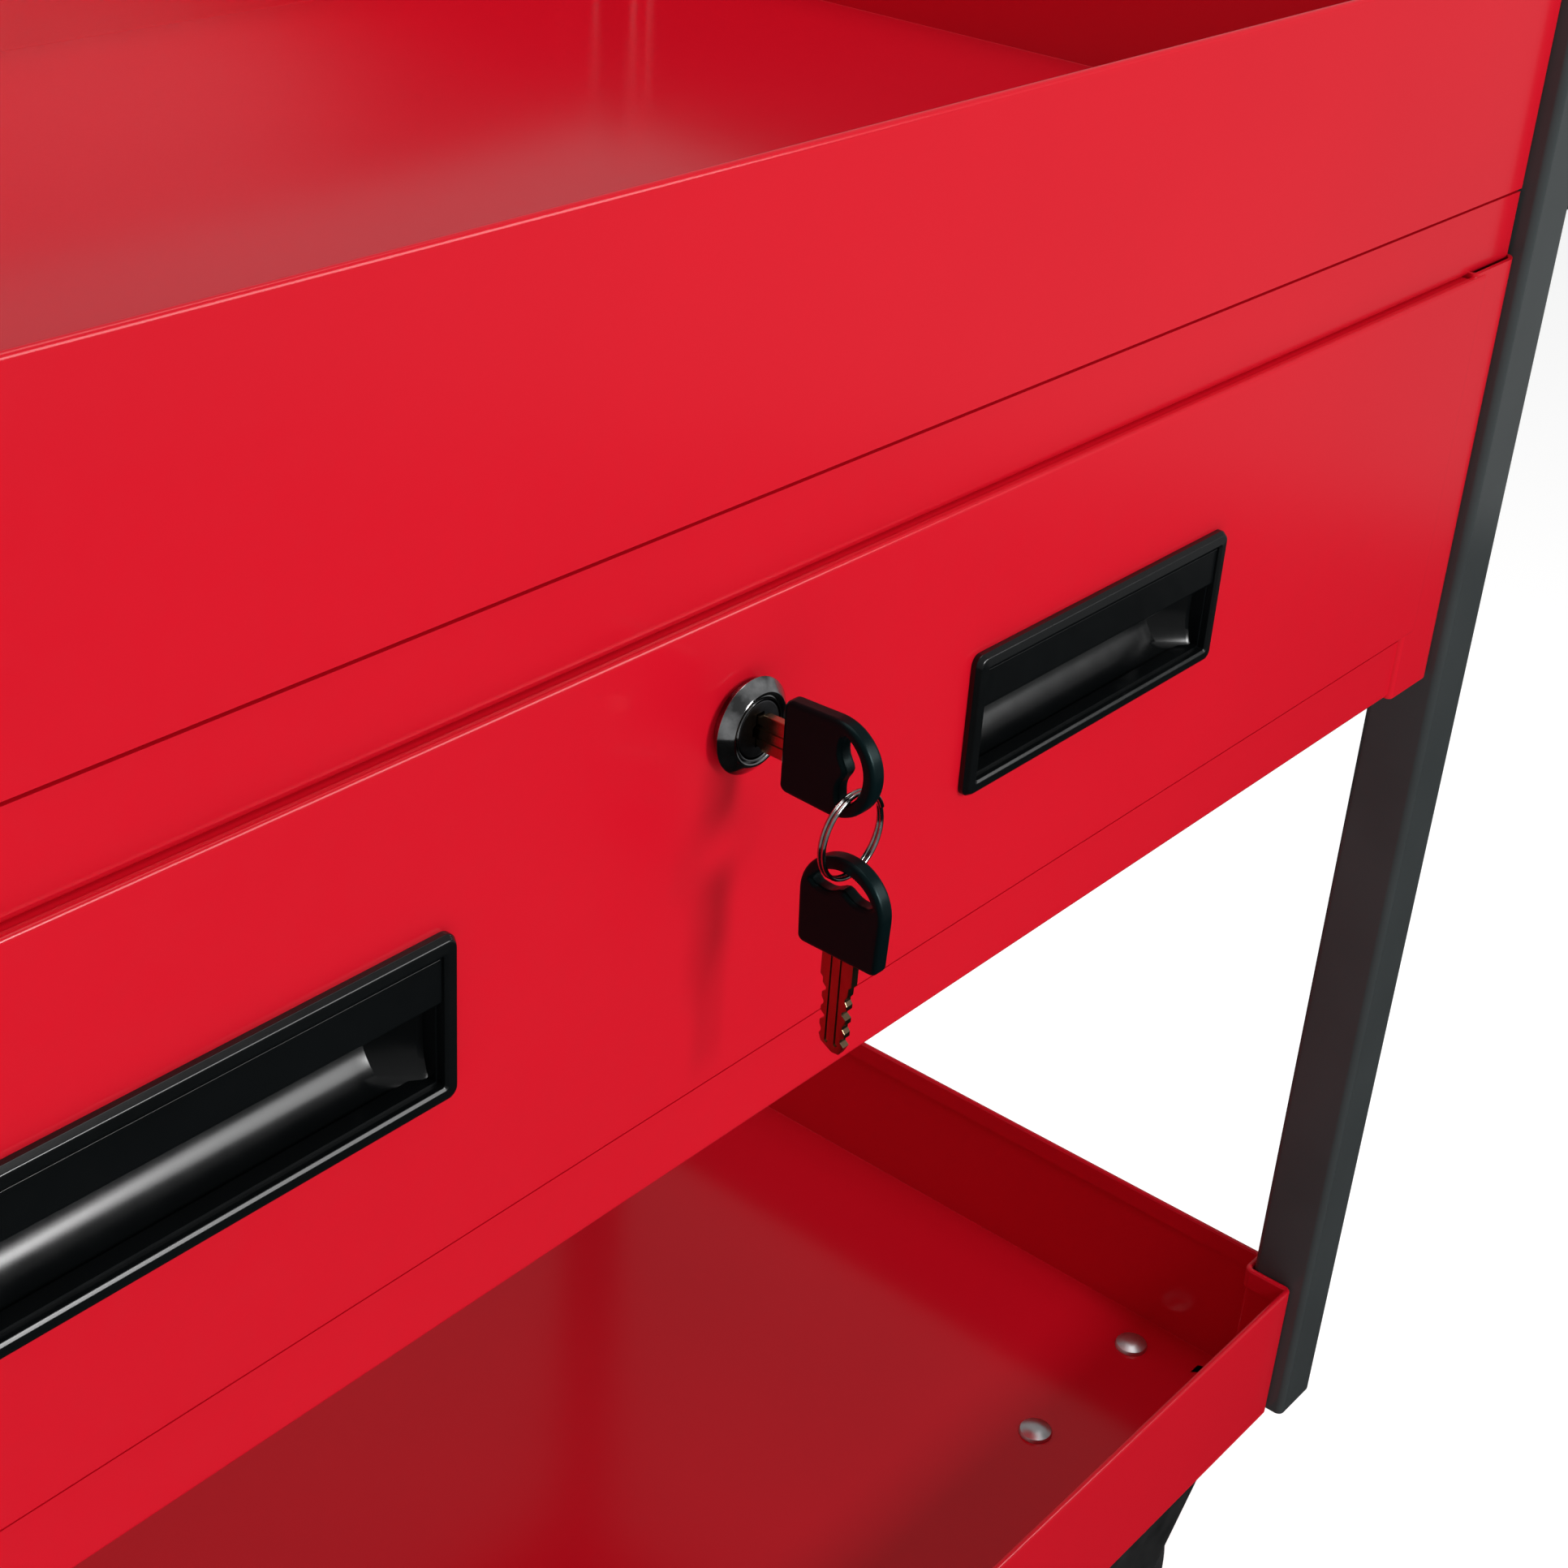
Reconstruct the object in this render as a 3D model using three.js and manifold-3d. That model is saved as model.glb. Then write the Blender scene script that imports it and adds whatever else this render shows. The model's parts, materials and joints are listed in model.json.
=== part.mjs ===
// Two-tier rolling tool cart: open trays, a locking drawer, keys on a ring, push handle, four casters.
// Millimetres. +Z up, the drawer faces -Y, the push handle is at the +X end, the floor is z = 0.
import * as THREE from 'three';
import { mergeVertices } from 'three/addons/utils/BufferGeometryUtils.js';
import Module from 'manifold-3d';

const wasm = await Module();
wasm.setup();
const { Manifold, Mesh: ManifoldMesh } = wasm;

// ---- driving dimensions ------------------------------------------------------------------------
const GAP = 0.3;                 // free space between neighbouring pieces
const SHEET = 1.5;               // sheet metal
const LEG = 25;                  // square leg tube, outside
const LEG_WALL = 1.5;
const LEG_CORNER = 2.5;
const LEG_INNER_X = 380;         // inner face of every leg
const LEG_FRONT_Y = -3;          // front face of the front legs, ahead of the drawer plane y = 0
const DEPTH = 420;               // over the legs, front to back
const TRAY_FRONT_Y = 3;          // outer face of the tray's front wall
const TRAY_SIDE_X = 391;         // outer face of the tray's side wall, in line with the legs
const BOTTOM_TRAY_Z = 155.3;
const BOTTOM_TRAY_HEIGHT = 66;
const CABINET_Z = 504;
const CABINET_TOP_Z = 677;
const TOP_TRAY_HEIGHT = 74.7;
const FACE_Y = 2;                // front face of the cabinet's stiles and bottom rail
const TOP_RAIL_Y = 5;            // the rail above the drawer is set back a little more
const OPENING_HALF_X = 352;
const OPENING_Z = [526, 655];
const DRAWER_HALF_X = 358;
const DRAWER_Z = [528, 652];
const BOX_HALF_X = 336.3;
const BOX_Z = [533, 632];
const BOX_BACK_Y = 376;
const BOX_FRONT_WALL_Y = 34;     // the inner skin, behind the pulls and the lock
const LOCK_Z = 625;
const PULL = { x: 149, z: 590.5, width: 120, height: 41, rim: 4, proud: 3, depth: 28 };
const SLIDE = { z: 585, y0: 12, y1: 372, height: 45, sheet: 1.2 };
const CASTER = { x: 335, y: [42, 372], wheelR: 62.5, tyreW: 32, plateTop: 155, trail: 35, forkIn: 20 };
const HANDLE = { reach: 475, z: 742, legZ: 700, radius: 11 };
const KEY = { faceY: -13, headLength: 26, headHalf: 12, thick: 4.5, bladeHalf: 4.6, bladeThick: 2.2 };
const RING = { radius: 10.4, wire: 0.8 };

const legBackY = LEG_FRONT_Y + DEPTH;
const topTrayZ = CABINET_TOP_Z + GAP;
const rimZ = topTrayZ + TOP_TRAY_HEIGHT;
const sheetBackY = legBackY - 6;

// ---- materials ---------------------------------------------------------------------------------
const finish = (color, roughness, metalness = 0) =>
  new THREE.MeshStandardMaterial({ color, roughness, metalness, flatShading: true });
const red = finish(0xc8141f, 0.35);
const black = finish(0x1c1c1d, 0.4);
const plastic = finish(0x0d0f10, 0.5);
const rubber = finish(0x141414, 0.85);
const zinc = finish(0xa9abad, 0.35, 0.9);
const chrome = finish(0xd8d9da, 0.15, 1);
const brass = finish(0xb9a26a, 0.3, 1);
const greyHub = finish(0x55585c, 0.6);

// ---- geometry helpers --------------------------------------------------------------------------
const cart = new THREE.Group();
cart.name = 'rolling_tool_cart';

function add(name, geometry, material) {
  geometry.computeVertexNormals();
  const mesh = new THREE.Mesh(geometry, material);
  mesh.name = name;
  cart.add(mesh);
  return mesh;
}

function toManifold(geometry) {
  const plain = geometry.clone();
  plain.deleteAttribute('normal');
  plain.deleteAttribute('uv');
  const welded = mergeVertices(plain, 1e-4);
  return new Manifold(new ManifoldMesh({
    numProp: 3,
    vertProperties: new Float32Array(welded.attributes.position.array),
    triVerts: new Uint32Array(welded.index.array),
  }));
}

function fromManifold(solid) {
  const mesh = solid.getMesh();
  const geometry = new THREE.BufferGeometry();
  geometry.setAttribute('position', new THREE.BufferAttribute(new Float32Array(mesh.vertProperties), 3));
  geometry.setIndex(new THREE.BufferAttribute(new Uint32Array(mesh.triVerts), 1));
  return geometry;
}

const join = (...parts) => fromManifold(parts.map(toManifold).reduce((a, b) => a.add(b)));
const cut = (base, ...tools) =>
  fromManifold(tools.map(toManifold).reduce((a, b) => a.subtract(b), toManifold(base)));

function box(x0, x1, y0, y1, z0, z1) {
  const g = new THREE.BoxGeometry(x1 - x0, y1 - y0, z1 - z0);
  return g.translate((x0 + x1) / 2, (y0 + y1) / 2, (z0 + z1) / 2);
}

function extrude(shape, depth, curveSegments = 4) {
  return new THREE.ExtrudeGeometry(shape, { depth, bevelEnabled: false, curveSegments });
}

// shape in (x, y), standing from z0 to z1
const prismZ = (shape, z0, z1, n) => extrude(shape, z1 - z0, n).translate(0, 0, z0);
// shape in (x, z), running from y0 to y1
const prismY = (shape, y0, y1, n) => extrude(shape, y1 - y0, n).rotateX(Math.PI / 2).translate(0, y1, 0);
// shape in (y, z), running from x0 to x1
function prismX(shape, x0, x1, n) {
  const turn = new THREE.Matrix4().set(0, 0, 1, x0, 1, 0, 0, 0, 0, 1, 0, 0, 0, 0, 0, 1);
  return extrude(shape, x1 - x0, n).applyMatrix4(turn);
}

const rodY = (r, y0, y1, x, z, n = 24) =>
  new THREE.CylinderGeometry(r, r, y1 - y0, n).translate(x, (y0 + y1) / 2, z);
const rodZ = (r, z0, z1, x, y, n = 24) =>
  new THREE.CylinderGeometry(r, r, z1 - z0, n).rotateX(Math.PI / 2).translate(x, y, (z0 + z1) / 2);

function polygon(points) {
  return new THREE.Shape(points.map(([a, b]) => new THREE.Vector2(a, b)));
}

function roundedRect(cx, cy, w, h, r) {
  const [x0, x1, y0, y1] = [cx - w / 2, cx + w / 2, cy - h / 2, cy + h / 2];
  const s = new THREE.Shape();
  s.moveTo(x0 + r, y0).lineTo(x1 - r, y0);
  s.absarc(x1 - r, y0 + r, r, -Math.PI / 2, 0);
  s.lineTo(x1, y1 - r).absarc(x1 - r, y1 - r, r, 0, Math.PI / 2);
  s.lineTo(x0 + r, y1).absarc(x0 + r, y1 - r, r, Math.PI / 2, Math.PI);
  s.lineTo(x0, y0 + r).absarc(x0 + r, y0 + r, r, Math.PI, Math.PI * 1.5);
  return s;
}

// a turned piece on a Y axis; profile points are [radius, y]
function turned(profile, x, z, n = 32) {
  const points = profile.map(([r, y]) => new THREE.Vector2(r, y));
  return new THREE.LatheGeometry(points, n).translate(x, 0, z);
}

const sides = [['left', -1], ['right', 1]];
const ends = [['front', 0], ['back', 1]];

// ---- legs and their caps -----------------------------------------------------------------------
for (const [end, back] of ends) {
  for (const [side, sx] of sides) {
    const cx = sx * (LEG_INNER_X + LEG / 2);
    const cy = back ? legBackY - LEG / 2 : LEG_FRONT_Y + LEG / 2;
    const tube = roundedRect(cx, cy, LEG, LEG, LEG_CORNER);
    const inside = LEG - 2 * LEG_WALL;
    tube.holes.push(roundedRect(cx, cy, inside, inside, 1));
    const capZ = rimZ - 3;
    add(`${end}_${side}_leg`, prismZ(tube, BOTTOM_TRAY_Z, capZ - GAP, 3), black);
    const plug = inside - 2 * GAP;
    const cap = join(
      prismZ(roundedRect(cx, cy, LEG, LEG, LEG_CORNER), capZ, rimZ, 3),
      box(cx - plug / 2, cx + plug / 2, cy - plug / 2, cy + plug / 2, capZ - 14, capZ + 1));
    add(`${end}_${side}_leg_cap`, cap, plastic);
  }
}

// ---- trays -------------------------------------------------------------------------------------
// plan outline of a pan whose corners are notched round the legs, moved in by t
function panOutline(t) {
  const a = LEG_INNER_X - GAP - t;
  const b = TRAY_SIDE_X - t;
  const f = TRAY_FRONT_Y + t;
  const k = sheetBackY - t;
  const n1 = LEG_FRONT_Y + LEG + GAP + t;
  const n2 = legBackY - LEG - GAP - t;
  return polygon([[-a, f], [a, f], [a, n1], [b, n1], [b, n2], [a, n2],
    [a, k], [-a, k], [-a, n2], [-b, n2], [-b, n1], [-a, n1]]);
}

function pan(z, height) {
  return cut(prismZ(panOutline(0), z, z + height), prismZ(panOutline(SHEET), z + SHEET, z + height + 1));
}

add('top_tray', pan(topTrayZ, TOP_TRAY_HEIGHT), red);
add('bottom_tray', pan(BOTTOM_TRAY_Z, BOTTOM_TRAY_HEIGHT), red);

// ---- drawer cabinet ----------------------------------------------------------------------------
const cabX = LEG_INNER_X - GAP;
const shell = cut(
  box(-cabX, cabX, FACE_Y, sheetBackY, CABINET_Z, CABINET_TOP_Z),
  box(-cabX + SHEET, cabX - SHEET, FACE_Y + SHEET, sheetBackY - SHEET, CABINET_Z + SHEET, CABINET_TOP_Z + 1),
  box(-OPENING_HALF_X, OPENING_HALF_X, FACE_Y - 1, FACE_Y + SHEET + 1, ...OPENING_Z),
  box(-cabX - 1, cabX + 1, FACE_Y - 1, TOP_RAIL_Y, OPENING_Z[1], CABINET_TOP_Z + 1));
const topRail = box(-cabX + 0.5, cabX - 0.5, TOP_RAIL_Y, TOP_RAIL_Y + SHEET, OPENING_Z[1], CABINET_TOP_Z);
add('drawer_cabinet', join(shell, topRail), red);

// ---- drawer slides -----------------------------------------------------------------------------
// a channel of three plates in the (x, z) plane, open towards open = +1 or -1 along x
function channel(xWeb, xLip, halfHeight, t, y0, y1, z) {
  const s = Math.sign(xLip - xWeb);
  const [a, b] = [Math.min(xWeb, xLip), Math.max(xWeb, xLip)];
  const whole = box(a, b, y0, y1, z - halfHeight, z + halfHeight);
  const inner = s > 0 ? [a + t, b + 1] : [a - 1, b - t];
  return cut(whole, box(...inner, y0 - 1, y1 + 1, z - halfHeight + t, z + halfHeight - t));
}

for (const [side, sx] of sides) {
  const { z, y0, y1, height, sheet } = SLIDE;
  const boxFace = BOX_HALF_X + GAP;
  const mountFace = OPENING_HALF_X - 0.7;
  add(`${side}_slide_mount`, channel(sx * mountFace, sx * (cabX - SHEET - GAP), 27, SHEET, y0, y1, z), zinc);
  const outerWeb = sx * (mountFace - GAP);
  const lip = sx * (boxFace + 5);
  add(`${side}_slide_outer`, channel(outerWeb, lip, height / 2, sheet, y0, y1, z), zinc);
  add(`${side}_slide_middle`,
    channel(outerWeb - sx * 3, lip, height / 2 - 3.5, sheet, y0, y1, z), zinc);
  add(`${side}_slide_inner`,
    channel(sx * boxFace, outerWeb - sx * 5.5, height / 2 - 7, sheet, y0, y1, z), zinc);
}

// ---- drawer ------------------------------------------------------------------------------------
const pullHole = (x) => prismY(
  roundedRect(x, PULL.z, PULL.width - 2 * PULL.rim + 0.6, PULL.height - 2 * PULL.rim + 0.6, 2), -5, 5, 3);
const flangeX = OPENING_HALF_X - 3;
add('drawer_front', cut(
  join(
    box(-DRAWER_HALF_X, DRAWER_HALF_X, 0, SHEET, ...DRAWER_Z),
    box(-flangeX, flangeX, 1, 14, DRAWER_Z[1] - SHEET, DRAWER_Z[1]),
    box(-flangeX, flangeX, 1, 14, DRAWER_Z[0] + GAP, DRAWER_Z[0] + SHEET)),
  pullHole(-PULL.x), pullHole(PULL.x), rodY(9.8, -5, 5, 0, LOCK_Z)), red);

add('drawer_box', cut(
  box(-BOX_HALF_X, BOX_HALF_X, SHEET + GAP, BOX_BACK_Y, ...BOX_Z),
  box(-BOX_HALF_X + SHEET, BOX_HALF_X - SHEET, BOX_FRONT_WALL_Y + SHEET, BOX_BACK_Y - SHEET,
    BOX_Z[0] + SHEET, BOX_Z[1] + 1),
  box(-BOX_HALF_X + SHEET, BOX_HALF_X - SHEET, 0, BOX_FRONT_WALL_Y, BOX_Z[0] + SHEET, BOX_Z[1] + 1)), red);

// ---- recessed pulls ----------------------------------------------------------------------------
function pull(x) {
  const { z, width, height, rim, proud, depth } = PULL;
  const inW = width - 2 * rim;
  const inH = height - 2 * rim;
  const body = join(
    prismY(roundedRect(x, z, width, height, 3), -proud, -GAP, 3),
    prismY(roundedRect(x, z, inW, inH, 2), -1, depth, 3));
  const top = z + inH / 2;
  const lip = z + 2;
  const low = z - inH / 2 + 2;
  const scoop = new THREE.Shape();
  scoop.moveTo(-proud - 1, low).lineTo(-proud - 1, lip).lineTo(1.4, lip).lineTo(1.4, top - 2);
  scoop.lineTo(12, top - 2).quadraticCurveTo(depth - 2, top - 3, depth - 2, z);
  scoop.quadraticCurveTo(depth - 3, low, 8, low).lineTo(-proud - 1, low);
  return cut(body,
    prismX(scoop, x - inW / 2 + 2, x + inW / 2 - 2, 6),
    box(x - inW / 2 + 1, x + inW / 2 - 1, -proud - 1, -1.2, lip - 1, top));
}
add('left_pull', pull(-PULL.x), plastic);
add('right_pull', pull(PULL.x), plastic);

// ---- lock --------------------------------------------------------------------------------------
add('lock_housing', turned([[7.2, -5], [8.8, -5.2], [9.2, -5.2], [11.8, -2.7], [11.8, -GAP], [9.4, -GAP],
  [9.4, 23.5], [7.2, 23.5], [7.2, -5]], 0, LOCK_Z), chrome);

const hex = (r, x, z) => polygon(Array.from({ length: 6 }, (_, i) =>
  [x + r * Math.cos(i * Math.PI / 3), z + r * Math.sin(i * Math.PI / 3)]));
add('lock_nut', cut(prismY(hex(14, 0, LOCK_Z), SHEET + GAP, 6), rodY(9.7, 0, 8, 0, LOCK_Z)), zinc);

const square = (half, y0, y1) => box(-half, half, y0, y1, LOCK_Z - half, LOCK_Z + half);
add('lock_plug', cut(
  join(rodY(6.9, -5, 24, 0, LOCK_Z), square(3, 23, 28)),
  box(-1.5, 1.5, -6, 21.5, LOCK_Z - 4.2, LOCK_Z + 4.2)), chrome);

const camShape = new THREE.Shape();
camShape.absarc(0, LOCK_Z, 8, Math.PI / 2, Math.PI * 1.5);
camShape.lineTo(24, LOCK_Z - 6).lineTo(26, LOCK_Z - 4).lineTo(26, LOCK_Z + 4).lineTo(24, LOCK_Z + 6);
add('lock_cam', cut(prismY(camShape, 24.3, 26.8, 8), square(3.3, 20, 30)), zinc);
add('cam_screw', rodY(5, 28.3, 31, 0, LOCK_Z, 12), zinc);

// ---- keys --------------------------------------------------------------------------------------
// Head and blade are drawn in (u, v): u runs from the blade out to the bow, v across the key.
function keyHead() {
  const { headLength: length, headHalf: half, thick } = KEY;
  const s = new THREE.Shape();
  const centre = length - half;
  s.moveTo(1.5, -half).lineTo(centre, -half).absarc(centre, 0, half, -Math.PI / 2, Math.PI / 2);
  s.lineTo(1.5, half).quadraticCurveTo(0, half, 0, half - 1.5).lineTo(0, 1.5 - half);
  s.quadraticCurveTo(0, -half, 1.5, -half);
  const reach = Math.PI * 0.32;
  const r = half - 2.1;
  const hole = new THREE.Path();
  hole.absarc(centre - 1.2, 0, r, -reach, reach);
  hole.quadraticCurveTo(centre + 2, r * 0.35, centre + 2.8, 0);
  hole.quadraticCurveTo(centre + 2, -r * 0.35, centre - 1.2 + r * Math.cos(reach), -r * Math.sin(reach));
  s.holes.push(hole);
  const slab = extrude(s, thick, 8).translate(0, 0, -thick / 2);
  const tang = KEY.bladeHalf + GAP;
  const half2 = KEY.bladeThick / 2 + GAP;
  return cut(slab, box(-1, 8, -tang, tang, -half2, half2));
}

function keyBlade() {
  const { bladeHalf: h, bladeThick: t } = KEY;
  const [root, tip] = [7.7, -26];
  const cuts = 3;
  const pitch = 4.2;
  const narrow = h - 0.8;                        // half the width beyond the shoulder
  const edge = [];
  for (let i = 0; i < cuts; i++) {
    const u = tip + 4 + i * pitch;
    edge.push([u, narrow], [u + pitch * 0.3, narrow - 0.9 - 0.35 * (i % 2)], [u + pitch * 0.6, narrow - 0.9]);
  }
  const upper = [[tip, 0.8], [tip + 3, narrow], ...edge, [-7, narrow], [-6.5, h], [root, h]];
  const lower = upper.map(([u, v]) => [u, -v]).reverse();
  return extrude(polygon([...upper, ...lower].reverse()), t).translate(0, 0, -t / 2);
}

// u to -Y, v to +Z, thickness to -X (a proper turn); the bow points at whoever holds it
const inLock = new THREE.Matrix4().set(0, 0, -1, 0, -1, 0, 0, KEY.faceY, 0, 1, 0, LOCK_Z, 0, 0, 0, 1);
add('key_head', keyHead().applyMatrix4(inLock), plastic);
add('key_blade', keyBlade().applyMatrix4(inLock), brass);

const ringU = 19.7;                              // where the ring's wire crosses the key's window
const ringY = KEY.faceY - ringU;
const ringTopZ = LOCK_Z - 5;
const ringCentreZ = ringTopZ - RING.radius;
add('split_ring', new THREE.TorusGeometry(RING.radius, RING.wire, 8, 32)
  .rotateX(Math.PI / 2).translate(0, ringY, ringCentreZ), zinc);

// u to +Z, v to +Y, thickness to -X: the spare hangs by its bow from the bottom of the ring
const spareZ = ringCentreZ - RING.radius - 21.4;
const hanging = new THREE.Matrix4().set(0, 0, -1, 0, 0, 1, 0, ringY, 1, 0, 0, spareZ, 0, 0, 0, 1);
add('spare_key_head', keyHead().applyMatrix4(hanging), plastic);
add('spare_key_blade', keyBlade().applyMatrix4(hanging), brass);

// ---- push handle -------------------------------------------------------------------------------
const legOuterX = LEG_INNER_X + LEG;
const handleY = [LEG_FRONT_Y + LEG / 2, legBackY - LEG / 2];
const rootX = legOuterX + GAP + 3 + GAP;
const bend = 40;
const handlePath = new THREE.CurvePath();
const corner = (x, y, z) => new THREE.Vector3(x, y, z);
const rise = (HANDLE.z - HANDLE.legZ) / (HANDLE.reach - rootX);
const along = (x) => HANDLE.legZ + rise * (x - rootX);
const near = HANDLE.reach - bend;
handlePath.add(new THREE.LineCurve3(corner(rootX, handleY[0], along(rootX)), corner(near, handleY[0], along(near))));
handlePath.add(new THREE.QuadraticBezierCurve3(corner(near, handleY[0], along(near)),
  corner(HANDLE.reach, handleY[0], HANDLE.z), corner(HANDLE.reach, handleY[0] + bend, HANDLE.z)));
handlePath.add(new THREE.LineCurve3(corner(HANDLE.reach, handleY[0] + bend, HANDLE.z),
  corner(HANDLE.reach, handleY[1] - bend, HANDLE.z)));
handlePath.add(new THREE.QuadraticBezierCurve3(corner(HANDLE.reach, handleY[1] - bend, HANDLE.z),
  corner(HANDLE.reach, handleY[1], HANDLE.z), corner(near, handleY[1], along(near))));
handlePath.add(new THREE.LineCurve3(corner(near, handleY[1], along(near)), corner(rootX, handleY[1], along(rootX))));
const tubeSection = new THREE.Shape().absarc(0, 0, HANDLE.radius, 0, Math.PI * 2);
const bent = new THREE.ExtrudeGeometry(tubeSection, { steps: 60, extrudePath: handlePath, curveSegments: 8 });
const beyondBracket = box(0, rootX, -100, DEPTH + 100, 0, 900);
add('push_handle', cut(bent, beyondBracket), black);

const grip = new THREE.Shape().absarc(0, 0, HANDLE.radius + 3.2, 0, Math.PI * 2);
grip.holes.push(new THREE.Path().absarc(0, 0, HANDLE.radius + 0.6, 0, Math.PI * 2));
add('handle_grip', extrude(grip, 260, 10).rotateX(Math.PI / 2)
  .translate(HANDLE.reach, (handleY[0] + handleY[1]) / 2 + 130, HANDLE.z), rubber);

for (const [end, back] of ends) {
  const y = handleY[back];
  add(`${end}_handle_bracket`,
    box(legOuterX + GAP, legOuterX + GAP + 3, y - LEG / 2, y + LEG / 2, HANDLE.legZ - 35, HANDLE.legZ + 25), zinc);
}

// ---- casters -----------------------------------------------------------------------------------
const axleZ = CASTER.wheelR;
const plateZ = CASTER.plateTop - 3;
const topPlate = (x, y) => prismZ(roundedRect(x, y, 95, 68, 6), plateZ, CASTER.plateTop, 3);

// one side plate of a fork in (x, z); the axle sits dx from the plate's centre
function forkPlate(x, dx, topZ, pedal) {
  const ax = x + dx;
  const s = new THREE.Shape();
  const lug = Math.sign(dx) || 1;
  if (!pedal) {
    s.moveTo(x - 30, topZ).lineTo(ax - 14, axleZ).absarc(ax, axleZ, 14, Math.PI, 2 * Math.PI);
    s.lineTo(x + 30, topZ);
    return s;
  }
  const points = [[-28 * lug, topZ], [-28 * lug, topZ - 14]];
  const round = Array.from({ length: 9 }, (_, i) => {
    const a = Math.PI + (i / 8) * Math.PI;
    return [dx + 14 * Math.cos(a) * lug, axleZ + 14 * Math.sin(a)];
  });
  points.push(...round, [dx + 32 * lug, 122], [dx + 32 * lug, 134], [30 * lug, topZ]);
  const placed = points.map(([px, pz]) => [x + px, pz]);
  return polygon(lug > 0 ? placed : placed.reverse());
}

function wheel(prefix, ax, y) {
  const w = CASTER.tyreW / 2;
  const R = CASTER.wheelR;
  add(`${prefix}_tyre`, turned([[50.3, y - w + 2], [R - 4, y - w], [R, y - w + 6], [R, y + w - 6],
    [R - 4, y + w], [50.3, y + w - 2], [50.3, y - w + 2]], ax, axleZ, 48), rubber);
  add(`${prefix}_hub`, turned([[6.4, y - w - 2], [16, y - w - 2], [18, y - 5], [42, y - 4], [46, y - w + 2],
    [50, y - w + 2], [50, y + w - 2], [46, y + w - 2], [42, y + 4], [18, y + 5], [16, y + w + 2],
    [6.4, y + w + 2], [6.4, y - w - 2]], ax, axleZ, 48), greyHub);
  const out = CASTER.forkIn + 3 + GAP;
  add(`${prefix}_axle`, turned([[0, y - out - 5], [9, y - out - 5], [9, y - out], [6, y - out], [6, y + out],
    [9, y + out], [9, y + out + 5], [0, y + out + 5]], ax, axleZ, 24), zinc);
}

for (const [end, back] of ends) {
  const y = CASTER.y[back];
  const inner = CASTER.forkIn;

  // fixed casters at the end away from the handle
  const fx = -CASTER.x;
  const fixedPlate = forkPlate(fx, 0, plateZ + 1, false);
  add(`${end}_left_fork`, cut(join(topPlate(fx, y),
    prismY(fixedPlate, y - inner - 3, y - inner, 8), prismY(fixedPlate, y + inner, y + inner + 3, 8)),
  rodY(6.3, y - 40, y + 40, fx, axleZ)), zinc);
  wheel(`${end}_left`, fx, y);

  // swivel casters with a foot brake at the handle end; the axle trails towards -X
  const sxCaster = CASTER.x;
  const crownZ = 137;
  add(`${end}_right_swivel_plate`, join(topPlate(sxCaster, y), rodZ(26, crownZ + GAP, plateZ + 1, sxCaster, y),
    rodZ(6, 130, plateZ, sxCaster, y), rodZ(9, 129, 132.7, sxCaster, y)), zinc);
  const dx = -CASTER.trail;
  const side = forkPlate(sxCaster, dx, crownZ, true);
  const pinX = sxCaster + dx - 26;
  const pinZ = 128;
  const fork = cut(join(
    box(sxCaster - 28, sxCaster + 28, y - inner - 3, y + inner + 3, crownZ - 4, crownZ),
    prismY(side, y - inner - 3, y - inner), prismY(side, y + inner, y + inner + 3)),
  rodZ(6.5, crownZ - 8, crownZ + 4, sxCaster, y), rodY(6.3, y - 40, y + 40, sxCaster + dx, axleZ),
  rodY(3.3, y - 40, y + 40, pinX, pinZ, 16));
  add(`${end}_right_fork`, fork, zinc);
  wheel(`${end}_right`, sxCaster + dx, y);
  const pedalShape = polygon([[pinX + 6, pinZ + 5], [pinX + 6, pinZ - 2], [pinX - 4, pinZ - 4.5],
    [pinX - 26, pinZ - 9], [pinX - 44, pinZ - 15], [pinX - 45, pinZ - 11], [pinX - 26, pinZ - 3], [pinX - 4, pinZ + 5]]);
  add(`${end}_right_brake_pedal`, join(
    prismY(pedalShape, y - inner + GAP, y + inner - GAP),
    rodY(3, y - inner - 3, y + inner + 3, pinX, pinZ, 16)), plastic);
}

// ---- stand the cart on the middle of its own footprint -------------------------------------------
const bounds = new THREE.Box3().setFromObject(cart);
cart.position.set(-(bounds.min.x + bounds.max.x) / 2, -(bounds.min.y + bounds.max.y) / 2, -bounds.min.z);
cart.updateMatrixWorld(true);

export default cart;
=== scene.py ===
"""A two-tier rolling tool cart in red and black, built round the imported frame. Metres."""
import json
import math
from math import cos, pi, radians, sin

import bmesh
import bpy
from mathutils import Matrix, Vector

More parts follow.
